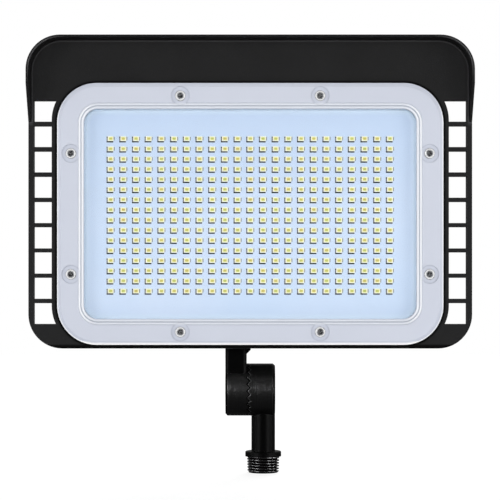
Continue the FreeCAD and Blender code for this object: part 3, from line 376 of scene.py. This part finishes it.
CLEARANCE = 0.0002
casting_points, casting_faces = merged("lower_knuckle")
middles = casting_points[casting_faces].mean(axis=1)
off_axis = np.hypot(middles[:, 0], middles[:, 1])
spigot_skin = (middles[:, 2] < -CLEARANCE) & (off_axis > WIRE_BORE + CLEARANCE)
casting_faces = casting_faces[~spigot_skin]
lower_knuckle = solid(
    "lower_knuckle_cast", casting_points, casting_faces, knuckle_coat.material, outward=False
)
thread = solid("conduit_thread", *pipe_thread(), thread_coat.material, sharp=50)
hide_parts("lower_knuckle")
for piece in (lower_knuckle, thread):
    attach(piece, "mount_stem")


# Knuckle seal: a moulded rubber ring between the two halves, hidden inside the teeth. It is dull
# black with a bloom of talc from the mould.
def rubber(name, deep, bloom, rough):
    """Moulded rubber: nearly matt, with a pale bloom in patches and a fine pitted skin."""
    finish = Finish(name, Specular_IOR_Level=0.3)
    patches, pits = finish.cloud(160, 4), finish.cloud(5200, 2)
    finish.paint(
        Base_Color=finish.between(finish.step(patches, 0.35, 0.75), deep, bloom),
        Roughness=rough + 0.14 * (patches - 0.5),
        Normal=finish.relief(pits, 0.00003, 0.0002),
    )
    return finish.material


dress(rubber("seal_rubber", (0.012, 0.012, 0.013), (0.03, 0.03, 0.032), rough=0.75), "knuckle_seal")


# Clamp bolt and its two washers: zinc-plated steel, turned and stamped. The bolt runs through the
# upper half into the lower one and is drawn up to lock the teeth.
def plated(name, bright, dull, rough, turned):
    """Bare or plated metal: fine noise for the tool marks, and clouds of a duller tone."""
    finish = Finish(name, Metallic=1.0)
    clouds, marks = finish.cloud(420, 3), finish.cloud(turned, 3)
    finish.paint(
        Base_Color=finish.between(clouds, bright, dull),
        Roughness=rough + 0.22 * (marks - 0.5) + 0.1 * (clouds - 0.5),
        Normal=finish.relief(marks, 0.000012, 0.00015),
    )
    return finish.material


zinc = plated("zinc_plate", (0.62, 0.63, 0.66), (0.42, 0.43, 0.46), rough=0.32, turned=7000)
dress(zinc, "clamp_bolt", "flat_washer", "lock_washer")


# Upper knuckle half: the matching aluminium casting in the same coat and turned skin. Its upright
# arm is screwed under the head, and its teeth lock into those of the lower half.
dress(knuckle_coat.material, "upper_knuckle")


# Gasket under the head: a cut sheet of grey rubber between the arm and the bay, with its screws
# and the soft bush that lines the wire hole above them.
gasket_grey = rubber("gasket_grey", (0.045, 0.046, 0.05), (0.085, 0.087, 0.092), rough=0.7)
dress(gasket_grey, "knuckle_base_gasket")
dress(zinc, "knuckle_base_screws")
dress(rubber("bush_rubber", (0.014, 0.014, 0.015), (0.032, 0.032, 0.034), rough=0.62), "wire_bush")


# Main housing: one die casting in black powder coat, with the front plate, the open ladder sides,
# cooling fins and the driver bay. The lamp chamber has white reflector paint. Painted shade darkens
# the joint round the lens frame and the bottom bar under it, and a painted highlight pales the
# plate's bevelled top edge.
HOUSING_BLACK, HOUSING_WORN = (0.0122, 0.0122, 0.0126), (0.02, 0.02, 0.021)
housing_coat = coat(
    "housing_coat",
    HOUSING_BLACK,
    HOUSING_WORN,
    rough=0.5,
    shine=0.24,
    grain=1250,
    depth=0.00009,
    edge=0.0005,
)


def face_of(name):
    """Middle and half size of a CAD node's box as seen from the front, each across and up."""
    low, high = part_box(name)
    middle = [(low[axis] + high[axis]) / 2 for axis in (0, 2)]
    half = [(high[axis] - low[axis]) / 2 for axis in (0, 2)]
    return middle, half


def inside_of(finish, middle, half, corner):
    """Depth inside a rounded rectangle seen from the front, negative outside it.

    The point is folded over both middle lines. Its distance past the straight sides is measured
    from the corner's centre, or by the nearer side where it is past neither.
    """
    across, _, up = finish.spread()
    past_side = abs(across - middle[0]) - (half[0] - corner)
    past_level = abs(up - middle[1]) - (half[1] - corner)
    outer = past_side.maths("MAXIMUM", past_side, 0.0) ** 2
    outer += past_level.maths("MAXIMUM", past_level, 0.0) ** 2
    inner = past_side.maths("MAXIMUM", past_side, past_level)
    return corner - outer ** 0.5 - inner.maths("MINIMUM", inner, 0.0)


FRAME_MIDDLE, FRAME_HALF = face_of("lens_frame")
FRAME_CORNER, WINDOW_CORNER = 0.0255, 0.009
BORDER_SIDE, BORDER_LEVEL = 0.0174, 0.0167
WINDOW_HALF = (FRAME_HALF[0] - BORDER_SIDE, FRAME_HALF[1] - BORDER_LEVEL)
CHAMBER_MARGIN, CHAMBER_DEEP, CHAMBER_REACH = 0.00165, -0.02375, 0.0024
CHAMBER_MIDDLE = (FRAME_MIDDLE[0], CHAMBER_DEEP, FRAME_MIDDLE[1])
CHAMBER_HALF = (WINDOW_HALF[0] + CHAMBER_MARGIN, CHAMBER_REACH, WINDOW_HALF[1] + CHAMBER_MARGIN)
REFLECTOR_WHITE, PAINT_EDGE = (0.8, 0.9, 0.98), 0.00005
painted = 1.0
for spot, middle, half in zip(housing_coat.spread(), CHAMBER_MIDDLE, CHAMBER_HALF):
    painted = housing_coat.step(half - abs(spot - middle), 0.0, PAINT_EDGE) * painted

JOINT_SHADE_TONE = (0.0012, 0.0012, 0.0013)
JOINT_REACH = (-0.002, -0.0012)
BOTTOM_BAR = (0.0742, 0.0752)
PLATE_FRONT = (-0.0245, -0.0235)
_, plate_deep, plate_up = housing_coat.spread()
# Painted shade: the plate is darker in a band round the lens frame and all over the bottom bar.
joint_depth = inside_of(housing_coat, FRAME_MIDDLE, FRAME_HALF, FRAME_CORNER)
joint = housing_coat.step(joint_depth, *JOINT_REACH)
joint = joint.maths("MAXIMUM", joint, 1 - housing_coat.step(plate_up, *BOTTOM_BAR))
joint_shade = joint * (1 - housing_coat.step(plate_deep, *PLATE_FRONT))
plate_tone = housing_coat.between(joint_shade, housing_coat.tone, JOINT_SHADE_TONE)

# Painted highlight: the plate's bevelled edge under the visor is paler.
EDGE_INSET, EDGE_CORNER, EDGE_WIDTH = 0.0017, 0.0203, (0.0008, 0.0014)
PLATE_TOP = (0.216, 0.22)
EDGE_HIGHLIGHT_TONE = (0.06, 0.06, 0.063)
plate_middle, plate_half = face_of("main_housing")
edge_half = (plate_half[0] - EDGE_INSET, plate_half[1])
edge_depth = inside_of(housing_coat, plate_middle, edge_half, EDGE_CORNER)
plate_edge_highlight = 1 - housing_coat.step(edge_depth, *EDGE_WIDTH)
plate_edge_highlight *= housing_coat.step(plate_up, *PLATE_TOP)
plate_tone = housing_coat.between(plate_edge_highlight, plate_tone, EDGE_HIGHLIGHT_TONE)
housing_coat.paint(Base_Color=housing_coat.between(painted, plate_tone, REFLECTOR_WHITE))
dress(housing_coat.material, "main_housing")


# Light engine: a metal-core board in white solder resist, bonded to the chamber's floor by a grey
# silicone pad.
PAD_DARK, PAD_PALE = (0.2, 0.21, 0.22), (0.34, 0.35, 0.36)
pad_finish = Finish("pad_silicone", Specular_IOR_Level=0.3)
pad_clouds, pad_grit = pad_finish.cloud(120, 3), pad_finish.cloud(4200, 2)
pad_finish.paint(
    Base_Color=pad_finish.between(pad_grit, PAD_DARK, PAD_PALE),
    Roughness=0.8 + 0.1 * (pad_clouds - 0.5),
    Normal=pad_finish.relief(pad_grit, 0.00003),
)
dress(pad_finish.material, "thermal_pad")

RESIST_BLUE, RESIST_PALE = (0.63, 0.77, 0.97), (0.69, 0.8, 0.98)
RESIST_SHADED, RESIST_LIT_RIM = (0.58, 0.71, 0.91), (0.72, 0.85, 1.0)
SHADED_HEIGHTS, RIM_WIDTH = (0.15, 0.225), 0.004
board_finish = Finish("solder_resist", Specular_IOR_Level=0.4)
board_clouds, board_weave = board_finish.cloud(14, 3), board_finish.cloud(900, 2)
board_share = board_finish.step(board_clouds, 0.3, 0.7) * 0.8 + board_weave * 0.2
board_tone = board_finish.between(board_share, RESIST_BLUE, RESIST_PALE)
_, _, board_up = board_finish.spread()
board_shade = board_finish.step(board_up, *SHADED_HEIGHTS)
board_tone = board_finish.between(board_shade, board_tone, RESIST_SHADED)
# Painted light: the resist is paler within a few millimetres of the window's edge, where the frame's lip
# shades it.
board_depth = inside_of(board_finish, FRAME_MIDDLE, WINDOW_HALF, WINDOW_CORNER)
board_lit_rim = 1 - board_finish.step(board_depth, 0.0, RIM_WIDTH)
board_finish.paint(
    Base_Color=board_finish.between(board_lit_rim, board_tone, RESIST_LIT_RIM),
    Roughness=0.42 + 0.1 * (board_weave - 0.5),
    Normal=board_finish.relief(board_weave, 0.00002),
)
dress(board_finish.material, "led_board")


# LED packages: 368 white moulded cups in 23 columns and 16 rows, each with a domed phosphor fill,
# a dark lead-frame tab at one end and a black sill below it that is a painted shadow, soldered to the
# board.
LED_COLUMNS, LED_ROWS, LED_RISE, RING = 23, 16, 0.0002, 8
INSET_LEFT, INSET_RIGHT, INSET_LOW, INSET_HIGH = 0.00234, 0.00222, 0.0011, 0.0024


def led_places():
    """Middles of the packages on the board: an even grid just inside the ends of the CAD field."""
    low, high = (np.array(corner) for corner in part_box("led_packages"))
    across = np.linspace(low[0] + INSET_LEFT, high[0] - INSET_RIGHT, LED_COLUMNS)
    up = np.linspace(low[2] + INSET_LOW, high[2] - INSET_HIGH, LED_ROWS)
    spots = np.stack(np.meshgrid(across, up, indexing="ij"), axis=-1).reshape(-1, 2)
    return np.stack([spots[:, 0], np.full(len(spots), high[1]), spots[:, 1]], axis=-1)


def stacked(levels):
    """Closed stack of eight-sided rings. A level is (half width, half height, corner, forward).

    Each ring is a rectangle with its corners cut off; the first and last rings are capped.
    """
    width, height, cut, forward = (column[:, None] for column in np.array(levels).T)
    across = np.array([1, 1, 1, 1, -1, -1, -1, -1]) * width
    across -= np.array([1, 0, 0, 1, -1, 0, 0, -1]) * cut
    up = np.array([-1, -1, 1, 1, 1, 1, -1, -1]) * height
    up -= np.array([0, -1, 1, 0, 0, 1, -1, 0]) * cut
    points = np.stack([across, -forward + 0 * across, up], axis=-1).reshape(-1, 3)
    ring = np.arange(RING)
    after = (ring + 1) % RING
    lower = (np.arange(len(levels) - 1) * RING)[:, None]
    upper = lower + RING
    sides = np.stack([lower + ring, lower + after, upper + after, upper + ring], axis=-1)
    caps = [list(ring[::-1]), list(ring + RING * (len(levels) - 1))]
    return points, sides.reshape(-1, 4).tolist() + caps


def everywhere(places, parts):
    """One copy of the parts, each (points, faces, shift), at every place."""
    points, faces, count = [], [], 0
    for part_points, part_faces, shift in parts:
        points.append(part_points + np.array(shift))
        faces += [[corner + count for corner in face] for face in part_faces]
        count += len(part_points)
    points = np.concatenate(points)
    field = (places[:, None, :] + points[None, :, :]).reshape(-1, 3)
    groups = [np.array([face for face in faces if len(face) == size]) for size in (4, RING)]
    starts = (np.arange(len(places)) * len(points))[:, None, None]
    copies = []
    for group in groups:
        copies += (starts + group[None, :, :]).reshape(-1, group.shape[1]).tolist()
    return field, copies


def enamel(name, plain, tinted, rough, grain):
    """Moulded white plastic with a slight warm tint in patches."""
    finish = Finish(name, Specular_IOR_Level=0.45)
    patches, grit = finish.cloud(240, 2), finish.cloud(grain, 2)
    finish.paint(
        Base_Color=finish.between(patches, plain, tinted),
        Roughness=rough + 0.12 * (grit - 0.5),
        Normal=finish.relief(grit, 0.00001),
    )
    return finish.material


places = led_places()
mm = 0.001
cup = stacked(
    [
        (1.96 * mm, 1.62 * mm, 0.2 * mm, 0.02 * mm),
        (1.93 * mm, 1.59 * mm, 0.22 * mm, 0.7 * mm),
        (1.86 * mm, 1.52 * mm, 0.22 * mm, 0.8 * mm),
        (1.5 * mm, 1.2 * mm, 0.3 * mm, 0.8 * mm),
        (1.35 * mm, 1.06 * mm, 0.3 * mm, 0.4 * mm),
    ]
)
cups = solid(
    "led_cups",
    *everywhere(places, [(*cup, (0, 0, LED_RISE))]),
    enamel("led_plastic", (0.99, 0.99, 0.9), (0.99, 0.98, 0.84), rough=0.38, grain=3000),
)
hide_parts("led_packages")

phosphor_levels = [
    (1.38 * mm, 1.1 * mm, 0.3 * mm, 0.45 * mm),
    (1.47 * mm, 1.17 * mm, 0.34 * mm, 0.7 * mm),
    (1.15 * mm, 0.8 * mm, 0.4 * mm, 0.76 * mm),
    (0.8 * mm, 0.5 * mm, 0.24 * mm, 0.78 * mm),
]
fill = stacked(phosphor_levels)
fill_finish = Finish("phosphor_fill", Specular_IOR_Level=0.5)
tint = fill_finish.node("ShaderNodeAttribute", {"attribute_name": "tint"}, out="Fac")
core = fill_finish.node("ShaderNodeAttribute", {"attribute_name": "core"}, out="Fac")
grains = fill_finish.cloud(5000, 2)
stops = [
    (0.0, (0.565, 0.455, 0.1)),
    (0.2, (0.6, 0.53, 0.1)),
    (0.6, (0.56, 0.56, 0.11)),
    (1.0, (0.485, 0.535, 0.1)),
]
middle_tone = fill_finish.node("ShaderNodeValToRGB", {"stops": stops}, {"Fac": tint})
cream = fill_finish.between(tint, (0.98, 0.95, 0.5), (0.96, 0.97, 0.52))
fill_finish.paint(
    Base_Color=fill_finish.between(core * 0.85 + grains * 0.15, cream, middle_tone),
    Roughness=0.3 + 0.1 * grains,
    Normal=fill_finish.relief(grains, 0.00001),
)
fills = solid("led_phosphor", *everywhere(places, [(*fill, (0, 0, LED_RISE))]), fill_finish.material)
tints = np.repeat(np.random.default_rng(7).random(len(places)), len(phosphor_levels) * RING)
cores = np.tile(np.repeat([0.0, 0.0, 0.2, 1.0], RING), len(places))
for name, values in (("tint", tints), ("core", cores)):
    fills.data.attributes.new(name, "FLOAT", "POINT").data.foreach_set("value", values)

# The black sills under the cups stand in for the shadow each package casts; the tabs are lead frame.
sills_and_tabs_finish = Finish("sill_and_tab_black", Specular_IOR_Level=0.25)
sill_mottle = sills_and_tabs_finish.cloud(1800, 2)
sills_and_tabs_finish.paint(
    Base_Color=sills_and_tabs_finish.between(sill_mottle, (0.003, 0.003, 0.003), (0.012, 0.012, 0.011)),
    Roughness=0.45 + 0.2 * (sill_mottle - 0.5),
    Normal=sills_and_tabs_finish.relief(sill_mottle, 0.00001),
)
sill = stacked([(2.18 * mm, 0.4 * mm, 0.08 * mm, 0.0), (2.14 * mm, 0.38 * mm, 0.08 * mm, 0.3 * mm)])
tab = stacked([(0.38 * mm, 0.4 * mm, 0.06 * mm, 0.0), (0.36 * mm, 0.38 * mm, 0.06 * mm, 0.5 * mm)])
sills_and_tabs = solid(
    "led_lead_frames",
    *everywhere(places, [(*sill, (-0.52 * mm, 0, -1.82 * mm)), (*tab, (-2.3 * mm, 0, 1.1 * mm))]),
    sills_and_tabs_finish.material,
)


def soldered(name, dull, clear, half, spot):
    """A tinned end of every package: a low bar of solder at one side, rippled and greyed."""
    finish = Finish(name, Metallic=0.2)
    ripple = finish.cloud(2600, 2)
    finish.paint(
        Base_Color=finish.between(ripple, dull, clear),
        Roughness=0.4 + 0.2 * (ripple - 0.5),
        Normal=finish.relief(ripple, 0.00002),
    )
    width, height = half
    foot = (width, height, 0.1 * mm, 0.0)
    top = (0.7 * width, height - 0.1 * mm, 0.06 * mm, 0.3 * mm)
    return solid(name, *everywhere(places, [(*stacked([foot, top]), spot)]), finish.material)


ANODE_DULL, ANODE_CLEAR = (0.14, 0.145, 0.145), (0.3, 0.31, 0.31)
CATHODE_DULL, CATHODE_CLEAR = (0.26, 0.27, 0.25), (0.42, 0.43, 0.4)
ANODE_HALF, ANODE_SPOT = (0.36 * mm, 1.4 * mm), (-2.33 * mm, 0, -0.2 * mm)
CATHODE_HALF, CATHODE_SPOT = (0.34 * mm, 1.15 * mm), (2.2 * mm, 0, 0.2 * mm)
anodes = soldered("led_anodes", ANODE_DULL, ANODE_CLEAR, ANODE_HALF, ANODE_SPOT)
cathodes = soldered("led_cathodes", CATHODE_DULL, CATHODE_CLEAR, CATHODE_HALF, CATHODE_SPOT)
for piece in (cups, fills, sills_and_tabs, anodes, cathodes):
    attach(piece, "head")


# Driver and wiring in the bay: a folded aluminium case on two ears, its screws, two silicone leads
# through a rubber grommet, and the brass earth screw.
case_finish = Finish("driver_case", Metallic=1.0)
brushing = case_finish.streaks((30.0, 1500.0, 1500.0))
case_finish.paint(
    Base_Color=case_finish.between(brushing, (0.5, 0.51, 0.53), (0.66, 0.67, 0.69)),
    Roughness=0.35 + 0.25 * (brushing - 0.5),
    Normal=case_finish.relief(brushing, 0.00002, 0.0004),
)
dress(case_finish.material, "led_driver")
dress(zinc, "driver_screws")
dress(rubber("lead_sheath", (0.35, 0.03, 0.025), (0.42, 0.06, 0.05), rough=0.45), "led_leads")
dress(rubber("grommet_rubber", (0.016, 0.016, 0.017), (0.035, 0.035, 0.037), rough=0.66), "lead_grommet")
dress(plated("earth_brass", (0.72, 0.52, 0.2), (0.6, 0.4, 0.14), rough=0.3, turned=5200), "earth_screw")


# Rear cover: a cast lid with a raised panel, in the housing's coat, on a flat rubber gasket and
# six blackened screws.
dark_steel = plated("dark_steel", (0.1, 0.1, 0.105), (0.05, 0.05, 0.054), rough=0.42, turned=6000)
dress(housing_coat.material, "rear_cover")
dress(rubber("cover_gasket", (0.02, 0.02, 0.021), (0.04, 0.04, 0.042), rough=0.72), "rear_cover_gasket")
dress(dark_steel, "rear_cover_screws")


# Frame gasket, glass and glass seal: a rubber gasket on the casting, the tempered pane bedded on
# it, and a thin pale silicone seal under the frame's lip.
dress(rubber("frame_rubber", (0.02, 0.02, 0.022), (0.04, 0.04, 0.043), rough=0.7), "frame_gasket")
dress(rubber("seal_silicone", (0.6, 0.66, 0.74), (0.7, 0.76, 0.84), rough=0.5), "glass_seal")
pane = Finish("tempered_glass", IOR=1.5, Base_Color=(0.25, 0.4, 0.5))
smear = pane.cloud(18, 3)
pane.paint(
    Alpha=0.01 + 0.01 * smear + 0.35 * pane.askew() ** 4,
    Roughness=0.03 + 0.05 * smear,
    Normal=pane.relief(pane.cloud(8, 1), 0.00005),
)
dress(pane.material, "lens_glass")


# Lens frame: a cast aluminium frame in satin pale grey paint, held by eight screws that clamp the
# glass. Painted highlights pale the ledges round the window, the outer edge and the foot; painted
# shade darkens the outer slope, the slants into the window and the creases.
SATIN_DEEP, SATIN_PALE = (0.57, 0.6, 0.69), (0.62, 0.65, 0.735)
SLOPE_SHADE, SLANT_SHADE, CREASE_SHADE = (0.53, 0.56, 0.65), (0.42, 0.45, 0.52), (0.3, 0.33, 0.4)
LEDGE_HIGHLIGHT_LEVEL, LEDGE_HIGHLIGHT_UPRIGHT = (0.7, 0.73, 0.79), (0.88, 0.9, 0.94)
RIM_HIGHLIGHT, FOOT_HIGHLIGHT = (0.84, 0.86, 0.9), (0.98, 0.98, 0.98)
TOP_BAR, FOOT, UPRIGHTS = (0.222, 0.236), (0.0768, 0.0776), (0.1, 0.107)
SLOPE, RIM, FOOT_EDGE = (0.0005, 0.0024), (-0.001, 0.0007), (-0.001, 0.0012, 0.0008)
INNER_SLANT, INNER_LEDGE = (-0.001, 0.0003), (0.0006, 0.0017)
OUTER_SLANT, OUTER_LEDGE = (0.0018, 0.0023, 0.0001), (0.0024, 0.0035)
satin = Finish("frame_satin", Specular_IOR_Level=0.5)
satin_clouds, satin_peel, satin_dust = satin.cloud(22, 3), satin.cloud(1600, 2), satin.cloud(8000, 1)
satin_tone = satin.between(satin_clouds * 0.7 + satin_dust * 0.3, SATIN_DEEP, SATIN_PALE)
satin_across, _, satin_up = satin.spread()
below_top = 1 - satin.step(satin_up, *TOP_BAR)
upright = satin.step(abs(satin_across - FRAME_MIDDLE[0]), *UPRIGHTS)
bezel_depth = inside_of(satin, FRAME_MIDDLE, FRAME_HALF, FRAME_CORNER)
# Painted shade: the outer slope is darker, except along the top bar.
slope = satin.band(bezel_depth, *SLOPE) * below_top
# Painted highlight: a paler line along the outer edge.
rim_highlight = satin.band(bezel_depth, *RIM) * below_top
# Painted highlight: the outer edge along the foot is near white.
foot_highlight = satin.band(bezel_depth, *FOOT_EDGE) * (1 - satin.step(satin_up, *FOOT))
window_far = 0.0 - inside_of(satin, FRAME_MIDDLE, WINDOW_HALF, WINDOW_CORNER)
# Painted highlights: the two ledges round the window are paler, most on the uprights.
ledges = satin.band(window_far, *INNER_LEDGE) + satin.band(window_far, *OUTER_LEDGE)
ledge_highlight = satin.between(upright, LEDGE_HIGHLIGHT_LEVEL, LEDGE_HIGHLIGHT_UPRIGHT)
# Painted shade: the slants into the window are darker.
slants = 0.5 * satin.band(window_far, *INNER_SLANT) + satin.band(window_far, *OUTER_SLANT)
marks = (
    (slope, SLOPE_SHADE),
    (ledges, ledge_highlight),
    (slants, SLANT_SHADE),
    (rim_highlight, RIM_HIGHLIGHT),
    (foot_highlight, FOOT_HIGHLIGHT),
)
for mark, mark_tone in marks:
    satin_tone = satin.between(mark, satin_tone, mark_tone)
# Painted shade: ambient occlusion darkens the creases of the mouldings.
open_sky = satin.node(
    "ShaderNodeAmbientOcclusion", {"samples": 4, "only_local": True}, {"Distance": 0.0012}, out="AO"
)
crease_shade = 1 - satin.step(open_sky, 0.6, 0.95)
satin.paint(
    Base_Color=satin.between(crease_shade * 0.25, satin_tone, CREASE_SHADE),
    Roughness=0.32 + 0.1 * (satin_clouds - 0.5) + 0.06 * (satin_dust - 0.5),
    Normal=satin.relief(satin_peel * 0.7 + satin_dust * 0.3, 0.00004, 0.0004),
)
dress(satin.material, "lens_frame")


# Frame screws: eight domed stainless screws with hexagon sockets, spun satin, with painted shade in
# the sockets and a painted highlight round each dome's rim.
SCREW_INNER, SCREW_OUTER = (0.0451, 0.0762), (0.1157, 0.039)
SOCKET_EDGE, DOME_RIM = (0.0016, 0.0020), (0.0024, 0.0031)
STEEL_DARK, STEEL_PALE = (0.16, 0.165, 0.17), (0.6, 0.61, 0.63)
DOME_GLINT, SOCKET_SHADE = (0.95, 0.95, 0.95), (0.02, 0.02, 0.022)
bright = Finish("stainless", Specular_IOR_Level=0.6)
spun, haze = bright.cloud(1100, 3), bright.cloud(500, 2)
screw_across, _, screw_up = bright.spread()
side_far, level_far = abs(screw_across - FRAME_MIDDLE[0]), abs(screw_up - FRAME_MIDDLE[1])


def far_from(across, up):
    """Distance in the frame's plane from one screw's axis, folded over both middle lines."""
    return ((side_far - across) ** 2 + (level_far - up) ** 2) ** 0.5


nearest = side_far.maths("MINIMUM", far_from(*SCREW_INNER), far_from(*SCREW_OUTER))
socket_mask = 1 - bright.step(nearest, *SOCKET_EDGE)
dome_rim = bright.band(nearest, *DOME_RIM)
steel_tone = bright.between(bright.step(spun, 0.42, 0.56), STEEL_DARK, STEEL_PALE)
# Painted highlight: a near-white ring round each dome.
steel_tone = bright.between(dome_rim, steel_tone, DOME_GLINT)
# Painted shade: patches in each socket are near black.
socket_shade = socket_mask * bright.step(spun, 0.44, 0.52)
bright.paint(
    Base_Color=bright.between(socket_shade, steel_tone, SOCKET_SHADE),
    Metallic=0.1,
    Roughness=0.3 + 0.2 * (haze - 0.5) + 0.3 * socket_mask,
    Normal=bright.relief(spun, 0.00001, 0.0002),
)
dress(bright.material, "frame_screws")


# Glare visor: a thin hood of folded aluminium, screwed to the plate's back edge. Its black coat is
# like the housing's, with a painted highlight along the edges of the lip in the two upper corners.
VISOR_BLACK, LIP_HIGHLIGHT = (0.01, 0.01, 0.0103), (0.17, 0.17, 0.175)
VISOR_CORNER, LIP_INSET = 0.022, (0.0008, 0.0012)
CORNER_SIDE, CORNER_LEVEL = (0.118, 0.132), (0.246, 0.258)
visor_coat = coat(
    "visor_coat",
    VISOR_BLACK,
    VISOR_BLACK,
    rough=0.46,
    shine=0.24,
    grain=1250,
    depth=0.00008,
    edge=0.0005,
)
visor_middle, visor_half = face_of("glare_visor")
lip_half = (visor_half[0], visor_middle[1] + visor_half[1] - FRAME_MIDDLE[1])
lip_depth = inside_of(visor_coat, FRAME_MIDDLE, lip_half, VISOR_CORNER)
visor_across, _, visor_up = visor_coat.spread()
at_corner = visor_coat.step(abs(visor_across - FRAME_MIDDLE[0]), *CORNER_SIDE)
at_corner *= visor_coat.step(visor_up, *CORNER_LEVEL)
# Painted highlight: the lip's edges are paler in the two upper corners.
lip_highlight = visor_coat.step(lip_depth, *LIP_INSET) * visor_coat.rub(0.0011) * at_corner
visor_coat.paint(Base_Color=visor_coat.between(lip_highlight, visor_coat.tone, LIP_HIGHLIGHT))
dress(visor_coat.material, "glare_visor")
dress(dark_steel, "visor_screws")


# Studio: a pale floor under the thread's end, a white surround, a broad fill behind the camera, a
# soft box to each side of it, a strip level with each side of the head and a box behind.
def soft_box(name, spot, aim, width, height, power):
    """A rectangular lamp at spot, turned to face aim."""
    lamp = bpy.data.lights.new(name, "AREA")
    lamp.shape, lamp.size, lamp.size_y, lamp.energy = "RECTANGLE", width, height, power
    made = bpy.data.objects.new(name, lamp)
    scene.collection.objects.link(made)
    made.location = spot
    way = Vector(spot) - Vector(aim)
    made.rotation_euler = way.to_track_quat("Z", "Y").to_euler()
    return made


target = (-0.0086, 0.0, 0.14)
soft_box("front_box", (0.0, -2.6, 0.28), target, 1.4, 0.5, 32.5).visible_glossy = False
soft_box("left_box", (-1.5, -1.4, 0.35), target, 0.8, 0.7, 6)
soft_box("right_box", (1.5, -1.4, 0.35), target, 0.8, 0.7, 6)
soft_box("left_strip", (-1.6, -0.2, 0.25), target, 0.25, 1.0, 2.5)
soft_box("right_strip", (1.6, -0.2, 0.25), target, 0.25, 1.0, 3)
soft_box("back_box", (0.4, 1.7, 0.9), target, 1.2, 0.8, 34).visible_glossy = False

FLOOR_REACH, FLOOR_DROP = 40.0, 0.0001
floor_level = cad_box[0][2] - FLOOR_DROP
corners = FLOOR_REACH * np.array([[-1, -1], [1, -1], [1, 1], [-1, 1]])
floor_points = np.column_stack([corners, np.full(len(corners), floor_level)])
floor_mesh = bpy.data.meshes.new("floor")
floor_mesh.from_pydata(floor_points.tolist(), [], [[0, 1, 2, 3]])
floor = bpy.data.objects.new("floor", floor_mesh)
scene.collection.objects.link(floor)
FRONT_GLOSS, REAR_GLOSS, FILL = 0.015, 0.2, 0.3
NEAR_FLOOR, REAR_FLOOR, REAR_WALL = (0.25, 1.6), (0.0, 1.5), (0.0, 0.6)
paper = Finish("floor_paper", Roughness=0.9, Specular_IOR_Level=0.1)
paper.paint(Base_Color=paper.between(paper.cloud(3, 2), (0.78, 0.78, 0.78), (0.82, 0.82, 0.82)))
away = paper.node("ShaderNodeVectorMath", {"operation": "LENGTH"}, {0: paper.place}, out=1)
near = 1 - paper.step(away, *NEAR_FLOOR)
watched = paper.node("ShaderNodeLightPath", out="Is Camera Ray")
watched += paper.node("ShaderNodeLightPath", out="Is Transmission Ray")
mirrored = paper.node("ShaderNodeLightPath", out="Is Glossy Ray")
_, floor_deep, _ = paper.spread()
rear = paper.step(floor_deep, *REAR_FLOOR)
bright_floor = watched * (1 + 0.3 * near) + mirrored * (FRONT_GLOSS + REAR_GLOSS * rear)
glow = paper.node("ShaderNodeEmission", {}, {"Color": (1.0, 1.0, 1.0), "Strength": bright_floor})
plain_paper = Term(paper, paper.shader.outputs[0])
shares = {0: watched * (1 - 0.35 * near) + mirrored, 1: plain_paper, 2: glow}
surface = paper.tree.nodes["Material Output"].inputs["Surface"]
paper.feed(surface, paper.node("ShaderNodeMixShader", {}, shares))
floor_mesh.materials.append(paper.material)


class Surround(Finish):
    """The world's nodes, written in the same way as a material's."""

    def __init__(self, name):
        self.world = bpy.data.worlds.new(name)
        self.world.use_nodes = True
        self.tree = self.world.node_tree
        self.shader = self.tree.nodes["Background"]
        self.place = self.node("ShaderNodeTexCoord", out="Generated")


surround = Surround("surround")
scene.world = surround.world
_, surround_deep, _ = surround.spread()
behind = surround.step(surround_deep, *REAR_WALL)
direct = surround.node("ShaderNodeLightPath", out="Is Camera Ray")
direct += surround.node("ShaderNodeLightPath", out="Is Transmission Ray")
gloss = surround.node("ShaderNodeLightPath", out="Is Glossy Ray")
surround.paint(
    Color=(1.0, 1.0, 1.0),
    Strength=direct + gloss * (FRONT_GLOSS + REAR_GLOSS * behind) + (1 - direct - gloss) * FILL,
)

camera_data = bpy.data.cameras.new("camera")
camera = bpy.data.objects.new("camera", camera_data)
scene.collection.objects.link(camera)
camera.location = (-0.00872, -1.401, 0.136)
camera.rotation_euler = (np.pi / 2, 0.0, 0.0)
camera_data.sensor_width = 36.0
camera_data.lens = 152.75
camera_data.clip_start, camera_data.clip_end = 0.05, 50.0
scene.camera = camera
scene.view_settings.view_transform = "Standard"
